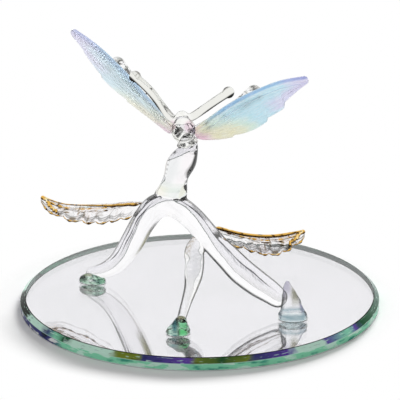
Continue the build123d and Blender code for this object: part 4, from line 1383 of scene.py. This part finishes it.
class GlassFeet(bpy.types.Operator):
    """Builds the three greenish glass feet"""

    bl_idname = "ornament.glass_feet"
    bl_label = "Glass feet"

    def execute(self, context):
        sizes = context.scene.ornament_branch
        glass = clear_glass("green_foot_glass", start=0.64, end=0.84, waviness=0.5, bend=1.2)
        arch, front = arch_line(sizes), branch_place(sizes, FRONT_LEG_STATIONS[-1])
        for name, leg, shift, top, turn, stations in (
            ("left_foot", arch[0, :3], (0.02, -0.22), (0, 0), -20, LEFT_FOOT_STATIONS),
            ("right_foot", arch[-1, :3], (0.50, -0.30), (0.32, 0.01), 0, RIGHT_FOOT_STATIONS),
            ("front_foot", front, (-0.12, -0.25), (0, 0), 0, FRONT_FOOT_STATIONS),
        ):
            long, wide, tall = getattr(sizes, name)
            centre, reach = (leg + np.array([*moved, 0]) * long for moved in (shift, top))
            piece = foot_piece("glass_" + name, centre, reach, long, wide, tall, turn, stations)
            mark_foot(piece, name)
            finished(piece, glass, "clear_glass", name)
        return {"FINISHED"}


def foot_piece(name, centre, reach, long, wide, tall, turn, stations):
    """A pinched foot with flat sides, between its footprint and its leg."""
    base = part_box("mirror_glass")[1].z + GLUE_LINE
    table = np.array(stations)
    shares = np.linspace(0, 1, 9)
    rows = curve_through(table[:, 0], table[:, 1:], shares)
    turns = np.linspace(0, math.tau, 57)[:-1]
    way = np.array([math.cos(math.radians(turn)), math.sin(math.radians(turn)), 0])
    aside = np.array([-way[1], way[0], 0])
    rings = []
    for i, (rise, (shift, size)) in enumerate(zip(shares, rows)):
        middle = centre + (reach - centre) * shift
        middle = np.array([middle[0], middle[1], base + tall * rise])
        side = (turns * FOOT_SIDES / math.tau + 0.5 * i) % 1 - 0.5
        flat = math.cos(math.pi / FOOT_SIDES) / np.cos(side * math.tau / FOOT_SIDES)
        out = size * np.minimum(0.94 + 0.06 * (flat - 0.9) / 0.1, 1.0)
        ring = middle + np.outer(np.cos(turns) * long / 2 * out, way)
        rings.append(ring + np.outer(np.sin(turns) * wide / 2 * out, aside))
    piece = loft(name, rings + dome(rings[-1], (0, 0, 0.35 * MM), 6, 0.05))
    piece.data.set_sharp_from_angle(angle=math.radians(16))
    return piece


def mark_foot(piece, name):
    """Tint and painted light and shade of a foot: green glass with painted dark and pale facets at the left
    and front, a clear cone with painted dark lines on a cool pad at the right.
    """
    places, normals = vertex_rows(piece)
    low, high = places.min(axis=0), places.max(axis=0)
    up, out = (places[:, 2] - low[2]) / (high[2] - low[2]), (places[:, 0] - low[0]) / (high[0] - low[0])
    cone = 0.52 + 0.32 * (1 - up)
    veins = within(np.sin(out * 15 + up * 5), 0.80, 3, 0.04)
    slash = within(np.abs((out - 0.70) + (up - 0.35) * 0.5), -1, 0.08, 0.02)
    facet_edge_shade = within(np.abs(out - 0.50 - 0.10 * (0.5 - up)), -1, 0.03, 0.01)
    ground, marks = {
        "left_foot": ((0.52, 0.80, 0.62), (
            (ALL, ALL, veins, (0.02, 0.09, 0.05)),
            ((0.30, 2, 0.05), (-1, 0.30, 0.02), 1, (0.0004, 0.001, 0.0006)),
            ((0.86, 2, 0.02), (0.10, 0.52, 0.02), 1, (0.22, 0.22, 0.12)),
            ((0.45, 0.82, 0.04), (0.34, 0.60, 0.03), 1, (0.97, 0.99, 0.97)),
            ((0.05, 0.75, 0.03), ALL, slash, (0.006, 0.05, 0.06)),
            ((0.10, 0.8, 0.03), (0.80, 2, 0.02), 1, (0.30, 0.62, 0.42)),
        )),
        "right_foot": (grey(1.0), (
            ((-1, 0.20, 0.02), ALL, 1, (0.40, 0.56, 0.60)),
            ((0.02, 0.06, 0.006), ALL, 1, (0.05, 0.12, 0.17)),
            ((0.12, 0.15, 0.006), ALL, 1, (0.05, 0.12, 0.17)),
            ((0.45, 0.85, 0.03), (0.45, 3, 0.02), 1, (0.30, 0.30, 0.22)),
            ((0.50, 1.1, 0.02), (cone, 9, 0.02), 1, (0.002, 0.0022, 0.002)),
            ((0.20, 0.45, 0.02), (cone, 9, 0.02), 1, (0.05, 0.05, 0.16)),
            ((0.18, 0.62, 0.02), (-2, 0.06 + 0.30 * up, 0.02), 1, grey(0.001)),
            ((0.62, 1.1, 0.03), (-1, 0.42, 0.02), 0.7, (0.40, 0.38, 0.50)),
        )),
        "front_foot": ((0.62, 0.88, 0.74), (
            ((0.24, 0.86, 0.03), (0.22, 0.50, 0.02), 1, (0.008, 0.06, 0.075)),
            ((0.10, 0.64, 0.03), (0.52, 0.86, 0.02), 1, (0.10, 0.50, 0.18)),
            (ALL, ALL, facet_edge_shade, (0.004, 0.012, 0.010)),
            ((0.0, 0.34, 0.03), (-1, 0.16, 0.02), 1, (0.006, 0.02, 0.016)),
            ((-1, 0.07, 0.02), ALL, 1, (0.003, 0.01, 0.006)),
            ((0.92, 2, 0.02), ALL, 1, (0.20, 0.13, 0.05)),
        )),
    }[name]
    cast = painted(np.array([ground] * len(places)), 1, up, out, marks)
    # Painted light: the underside near white and without an outline
    below = within(normals[:, 2], -2, -0.7, 0.05)
    set_tint_and_painted_light(piece, toward(cast, below, grey(0.97)), 0.6 * (1 - below))


class ButterflyBody(bpy.types.Operator):
    """Builds the fused clear glass body: thorax, head, abdomen, antennae and bead collar"""

    bl_idname = "ornament.butterfly_body"
    bl_label = "Butterfly body"

    def execute(self, context):
        scene = context.scene
        sizes = scene.ornament_butterfly
        glass = clear_glass("clear_body_glass", start=0.70, end=0.94, dark=grey(0.05), bend=1.12)
        centre = thorax_centre(scene)
        perch = stem_line(scene.ornament_branch)[-1, :3]
        head = centre + np.array([-0.09, -0.42, 1.15]) * sizes.thorax_radius
        axis = np.array([0, math.sin(sizes.thorax_pitch), math.cos(sizes.thorax_pitch)])
        aside, rings = np.array([1.0, 0, 0]), []
        for bend in np.linspace(0.03, math.pi - 0.03, 40):
            middle = centre - axis * sizes.thorax_length / 2 * math.cos(bend)
            radius = sizes.thorax_radius * math.sin(bend)
            rings.append(oval(middle, aside, np.cross(axis, aside), radius, radius, 48))
        parts = [loft("thorax", rings), ball("head", head, sizes.head_radius)]
        antennae = []
        for side, shift, stations in (
            (-1, (-1.30, 0.10, -0.20), LEFT_ANTENNA_STATIONS),
            (1, (1.15, 0.10, 0.00), RIGHT_ANTENNA_STATIONS),
        ):
            root = head + np.array(shift) * sizes.head_radius
            line = [head] + [root + np.array([side * x, y, z]) * sizes.antenna_reach for x, y, z in stations]
            parts.append(rod("antenna", line, [sizes.antenna_radius] * len(line), glass, sides=32))
            parts.append(ball("knob", line[-1], sizes.knob_radius))
            antennae.append(np.column_stack([line, np.full(len(line), sizes.antenna_radius)]))
        line = [centre + np.array([0, y, z]) * sizes.abdomen_length for y, z, _ in ABDOMEN_STATIONS]
        girths = [sizes.abdomen_radius * r for _, _, r in ABDOMEN_STATIONS]
        parts += [rod("abdomen", line, girths, glass), ball("abdomen_end", line[-1], girths[-1])]
        parts += collar_parts(perch, unit(centre - perch), sizes, glass)
        piece = fuse("butterfly_body_glass", parts, sizes.pitch, 3)
        mark_body(piece, centre, antennae, sizes)
        parts = ("thorax", "head", "abdomen", "left_antenna", "right_antenna", "perch_collar")
        finished(piece, glass, "clear_glass", *parts)
        return {"FINISHED"}


def collar_parts(perch, way, sizes, glass):
    """The short rod between stub and thorax, and the ring of beads round it."""
    line = [perch + way * 0.8 * MM, perch + way * sizes.collar_height]
    core = rod("collar", line, [sizes.collar_radius] * 2, glass)
    ring = placed("bead_ring", bpy.data.meshes.new("bead_ring"))
    radii = {"Ring radius": sizes.collar_radius, "Bead radius": sizes.bead_radius}
    grow(ring, bead_tree(), {"Finish": glass, "Beads": 7, **radii})
    tilt = Vector((0, 0, 1)).rotation_difference(Vector(way)).to_matrix().to_4x4()
    ring.data.transform(Matrix.Translation(Vector(perch + way * sizes.collar_height * 0.40)) @ tilt)
    return [core, ring]


def mark_body(piece, centre, antennae, sizes):
    """Tint and painted light and shade of the body: painted shade along the antennae, and what the thorax
    bends of the wings, painted in.
    """
    places, normals = vertex_rows(piece)
    near = normals[:, 1] < -0.2
    side, _, up = ((places - centre) / sizes.thorax_radius).T
    cast = np.ones((len(places), 3)) * (0.96, 0.96, 0.94)
    # Painted refraction: dark and olive swirls in the thorax's core
    swirl = np.sin(side * 7 + 2.4 * np.sin(up * 5.1)) + 0.8 * np.sin(up * 9.5 + 1.7 * np.sin(side * 6.3))
    core = within(np.hypot(side, up - 0.35), -1, 1.65, 0.08) * near
    cast = toward(cast, np.exp(-((swirl / 0.09) ** 2)) * core * 0.5, (0.40, 0.40, 0.34))
    cast = toward(cast, within(swirl, 1.0, 3, 0.1) * core * 0.4, (0.66, 0.68, 0.58))
    # Round spots of painted refraction in rose and lilac and of painted black shade: place to the side and
    # up, and size, in thorax radii, and tone
    for x, z, size, tone in (
        (-1.05, 0.72, 0.34, (0.80, 0.50, 0.62)),
        (0.50, 0.52, 0.42, (0.86, 0.58, 0.70)),
        (0.95, 0.10, 0.30, (0.70, 0.56, 0.78)),
        (-0.62, -0.04, 0.085, PAINTED_BLACK),
        (0.46, -0.10, 0.085, PAINTED_BLACK),
        (0.58, 0.04, 0.06, PAINTED_BLACK),
    ):
        spot = np.hypot(side - x, (up - z) * 0.9)
        cast = toward(cast, within(spot, -1, size, size * 0.15) * near, tone)
    # Painted shade: a dark line low on the thorax
    fold_shade = np.exp(-(((up + 0.62 + 0.10 * np.cos(side * 3.2)) / 0.055) ** 2)) * within(side, -0.75, 0.75, 0.05)
    cast = toward(cast, fold_shade * near, (0.03, 0.03, 0.025))
    # Painted shade along each antenna: pale grey, black along one side and dark grey along the other
    for line, lower in zip(antennae, (1, -1)):
        along, across, _, off = rod_marks(places, path_through(line, 160))
        cast = painted(cast, within(off, -1, 0.8 * MM, 0.05 * MM), along, across * lower, (
            ((0.16, 2, 0.02), ALL, 1, (0.86, 0.86, 0.82)),
            ((0.16, 2, 0.02), (0.70, 3, 0.03), 1, grey(0.0003)),
            ((0.16, 2, 0.02), (-3, -0.86, 0.03), 0.7, (0.06, 0.05, 0.045)),
        ))
    set_tint_and_painted_light(piece, cast)


class Wings(bpy.types.Operator):
    """Builds the pearly forewings and the clear hindwings"""

    bl_idname = "ornament.wings"
    bl_label = "Wings"

    def execute(self, context):
        scene = context.scene
        sizes = scene.ornament_butterfly
        centre = thorax_centre(scene)
        pearly = pearly_glass(sizes)
        clear = clear_glass("clear_hindwing_glass", start=0.66, end=0.88, dark=(0.004, 0.0045, 0.003))
        left = (LEFT_FOREWING_SECTIONS, LEFT_FOREWING_LOBES)
        right = (RIGHT_FOREWING_SECTIONS, RIGHT_FOREWING_LOBES)
        hinder = (HINDWING_SECTIONS, HINDWING_LOBES)
        # Root from the thorax's centre in thorax radii, side, lift, sweep and tilt in degrees, paleness
        for name, root, side, lift, sweep, tilt, paleness, (sections, lobes) in (
            ("left_forewing", (-0.61, 0.18, 0.05), -1, 42.8, 8, 43, 0.50, left),
            ("right_forewing", (0.79, 0.18, -0.05), 1, 21.6, 8, 30, 0.0, right),
            ("left_hindwing", (-0.30, 1.05, -0.35), -1, 38.5, 33, 62, 0.0, hinder),
            ("right_hindwing", (0.55, 1.05, -0.35), 1, 21.5, 31, 62, 0.0, hinder),
        ):
            wing = wing_frame(centre + np.array(root) * sizes.thorax_radius, side, lift, sweep, tilt)
            hind = "hind" in name
            span, edge, rib_depth = getattr(sizes, name), sizes.edge_thickness, sizes.rib_depth
            nose, chord, ribs = (1.9 * MM, 12 * MM, 5) if hind else (sizes.nose_radius, 14 * MM, 6)
            piece, along, across = wing_piece(
                name + "_glass", wing, span, chord, nose, edge, sections, lobes, ribs, rib_depth, paleness
            )
            if hind:
                # Painted shade on the round tip of a hindwing: olive rings and a black one
                ring = np.sin((1.02 - along) * 75 + across * 3)
                cast = painted(np.ones((len(along), 3)) * 0.98, 1, along, ring, (
                    ((0.82, 2, 0.02), (0.60, 2, 0.10), 0.7, (0.30, 0.31, 0.24)),
                    ((0.86, 2, 0.02), (0.93, 2, 0.03), 0.8, grey(0.02)),
                ))
                set_tint_and_painted_light(piece, cast)
            finished(piece, clear if hind else pearly, "clear_glass" if hind else "pearly_glass", name)
        return {"FINISHED"}


class Leaves(bpy.types.Operator):
    """Builds the pressed clear leaves and the gold fired on them"""

    bl_idname = "ornament.leaves"
    bl_label = "Leaves"

    def execute(self, context):
        scene = context.scene
        sizes, branch = scene.ornament_leaf, scene.ornament_branch
        glass = clear_glass("clear_leaf_glass", start=0.70, end=0.92, waviness=0.15, bend=1.07)
        gold = fired_gold(sizes)
        arch = arch_line(branch)
        # Station on the arch, shift from it in rod radii, side, length, half width and droop in millimetres,
        # heading in degrees
        for name, station, shift, side, size, half_width, drop, heading, sections, corners in (
            ("left_leaf", LEFT_LEAF_STATION, (-0.20, 0.30, 0.60), 1, 42.0, 4.7, 6.5, 138.8,
             LEFT_LEAF_SECTIONS, LEFT_LEAF_CORNERS),
            ("right_leaf", RIGHT_LEAF_STATION, (0.40, 0.40, 0.17), -1, 29.7, 4.2, 6.0, 27.0,
             RIGHT_LEAF_SECTIONS, RIGHT_LEAF_CORNERS),
        ):
            leaf = leaf_frame(arch[station, :3] + np.array(shift) * branch.rod_radius, heading)
            shape = (leaf, side, size * MM, half_width * MM, drop * MM, sections, corners, sizes)
            finished(leaf_piece(name + "_glass", *shape), glass, "clear_glass", name)
            finished(gold_lines(name + "_gold", shape, gold), gold, "gold", name + "_gilding")
        return {"FINISHED"}


class Stage(bpy.types.Operator):
    """Sets the white floor, the soft light and the camera"""

    bl_idname = "ornament.stage"
    bl_label = "Stage"

    def execute(self, context):
        scene, sizes = context.scene, context.scene.ornament_stage
        half, below = 3, -0.02 * MM
        corners = [(x * half, y * half, below) for x, y in ((-1, -1), (1, -1), (1, 1), (-1, 1))]
        floor = piece_of("floor", corners, [(0, 1, 2, 3)])
        floor.data.materials.append(floor_finish(sizes))
        for name, power, spread, tilt, roll, turn in (
            ("soft_back_lamp", sizes.back_lamp, 26, -69, 3, -14),
            ("soft_front_lamp", sizes.front_lamp, 60, 35, -20, 0),
        ):
            lamp = placed(name, bpy.data.lights.new(name, "SUN"))
            lamp.data.energy, lamp.data.angle = power, math.radians(spread)
            lamp.rotation_euler = (math.radians(tilt), math.radians(roll), math.radians(turn))
            lamp.visible_glossy = lamp.visible_transmission = False
        camera = placed("camera", bpy.data.cameras.new("camera"))
        camera.data.lens, camera.data.clip_start = sizes.lens, 0.01
        camera.location, camera.rotation_euler = sizes.camera_place, sizes.camera_turn
        scene.camera = camera
        surroundings(scene, sizes)
        scene.view_settings.view_transform = "Standard"
        return {"FINISHED"}


def seen_straight(tree):
    """Rays that show the white surroundings: those of gloss and glass, and these with the camera's."""
    path = tree.nodes.new("ShaderNodeLightPath")
    bent = maths(tree, "MAXIMUM", path.outputs["Is Glossy Ray"], path.outputs["Is Transmission Ray"])
    return bent, maths(tree, "MAXIMUM", path.outputs["Is Camera Ray"], bent)


def floor_finish(sizes):
    """White floor that keeps the soft shadow near the mirror and is plain white further out."""
    shadow_shift, shadow_fades, shadow_ends = (2.8 * MM, 0.0, 0.0), 53.5 * MM, 61.2 * MM
    material, tree, surface = finish_named("white_floor")
    if tree is None:
        return material
    place = object_place(tree)
    worn = [(0.0, tuple(level * 0.985 for level in sizes.floor)), (1.0, sizes.floor[:])]
    grain = ramp(tree, noise(tree, place, 300.0, 3.0), worn, "LINEAR")
    matte = node(tree, "ShaderNodeBsdfDiffuse", {"Color": grain})
    tree.nodes.remove(surface)
    white = node(tree, "ShaderNodeEmission", {"Color": (*grey(1.0), 1), "Strength": 1.0})
    moved = node(tree, "ShaderNodeVectorMath", {0: place, 1: shadow_shift}, operation="ADD").outputs[0]
    out = node(tree, "ShaderNodeVectorMath", {0: moved}, operation="LENGTH").outputs["Value"]
    far = mapped(tree, out, shadow_fades, shadow_ends, "SMOOTHSTEP")
    away = node(tree, "ShaderNodeMixShader", {0: far, 1: matte.outputs[0], 2: white.outputs[0]})
    straight = seen_straight(tree)[1]
    shown = node(tree, "ShaderNodeMixShader", {0: straight, 1: matte.outputs[0], 2: away.outputs[0]})
    tree.links.new(shown.outputs[0], tree.nodes["Material Output"].inputs["Surface"])
    return material


def surroundings(scene, sizes):
    """White surroundings with two soft studio flags on each side for the glass to bend into its outlines."""
    middles, dark_half, soft_half = (63, 117), math.radians(5), math.radians(8)
    lowest, highest, flag = -0.2, 0.55, grey(0.25)
    scene.world = bpy.data.worlds.new("white_surroundings")
    scene.world.use_nodes = True
    tree = scene.world.node_tree
    way = tree.nodes.new("ShaderNodeTexCoord").outputs["Generated"]
    split = node(tree, "ShaderNodeSeparateXYZ", {"Vector": way})
    azimuth = maths(tree, "ABSOLUTE", maths(tree, "ARCTAN2", split.outputs["X"], split.outputs["Y"]))
    height = split.outputs["Z"]
    over, under = maths(tree, "GREATER_THAN", height, lowest), maths(tree, "LESS_THAN", height, highest)
    tall = maths(tree, "MULTIPLY", over, under)
    flags = []
    for middle in middles:
        off = maths(tree, "ABSOLUTE", maths(tree, "SUBTRACT", azimuth, math.radians(middle)))
        flags.append(maths(tree, "MULTIPLY", mapped(tree, off, soft_half, dark_half), tall))
    bent, straight = seen_straight(tree)
    dark = maths(tree, "MULTIPLY", maths(tree, "MAXIMUM", *flags), bent)
    background = tree.nodes["Background"]
    tree.links.new(blended(tree, "MIX", dark, grey(1.0), flag), background.inputs["Color"])
    strength = maths(tree, "MULTIPLY_ADD", straight, 1.0 - sizes.world, sizes.world)
    tree.links.new(strength, background.inputs["Strength"])


class OrnamentPanel(bpy.types.Panel):
    """Lists the settings and the steps"""

    bl_idname = "VIEW3D_PT_ornament"
    bl_label = "Glass butterfly ornament"
    bl_space_type = "VIEW_3D"
    bl_region_type = "UI"
    bl_category = "Ornament"

    def draw(self, context):
        for holder in SETTINGS:
            box = self.layout.box()
            box.label(text=holder.split("_")[1].capitalize())
            group = getattr(context.scene, holder)
            for key in group.bl_rna.properties.keys():
                if key not in ("rna_type", "name"):
                    box.prop(group, key)
        for step in STEPS:
            self.layout.operator(step.bl_idname)


STEPS = (MirrorBase, GlassBranch, GlassFeet, ButterflyBody, Wings, Leaves, Stage)


def register():
    """Registers the settings, the steps and the panel."""
    for group in (*SETTINGS.values(), *STEPS, OrnamentPanel):
        bpy.utils.register_class(group)
    for holder, group in SETTINGS.items():
        setattr(bpy.types.Scene, holder, bpy.props.PointerProperty(type=group))


def unregister():
    """Removes what register added."""
    for holder in SETTINGS:
        delattr(bpy.types.Scene, holder)
    for group in reversed((*SETTINGS.values(), *STEPS, OrnamentPanel)):
        bpy.utils.unregister_class(group)


def main():
    """Registers the add-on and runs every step."""
    register()
    for step in STEPS:
        area, action = step.bl_idname.split(".")
        getattr(getattr(bpy.ops, area), action)()


if __name__ == "__main__":
    main()
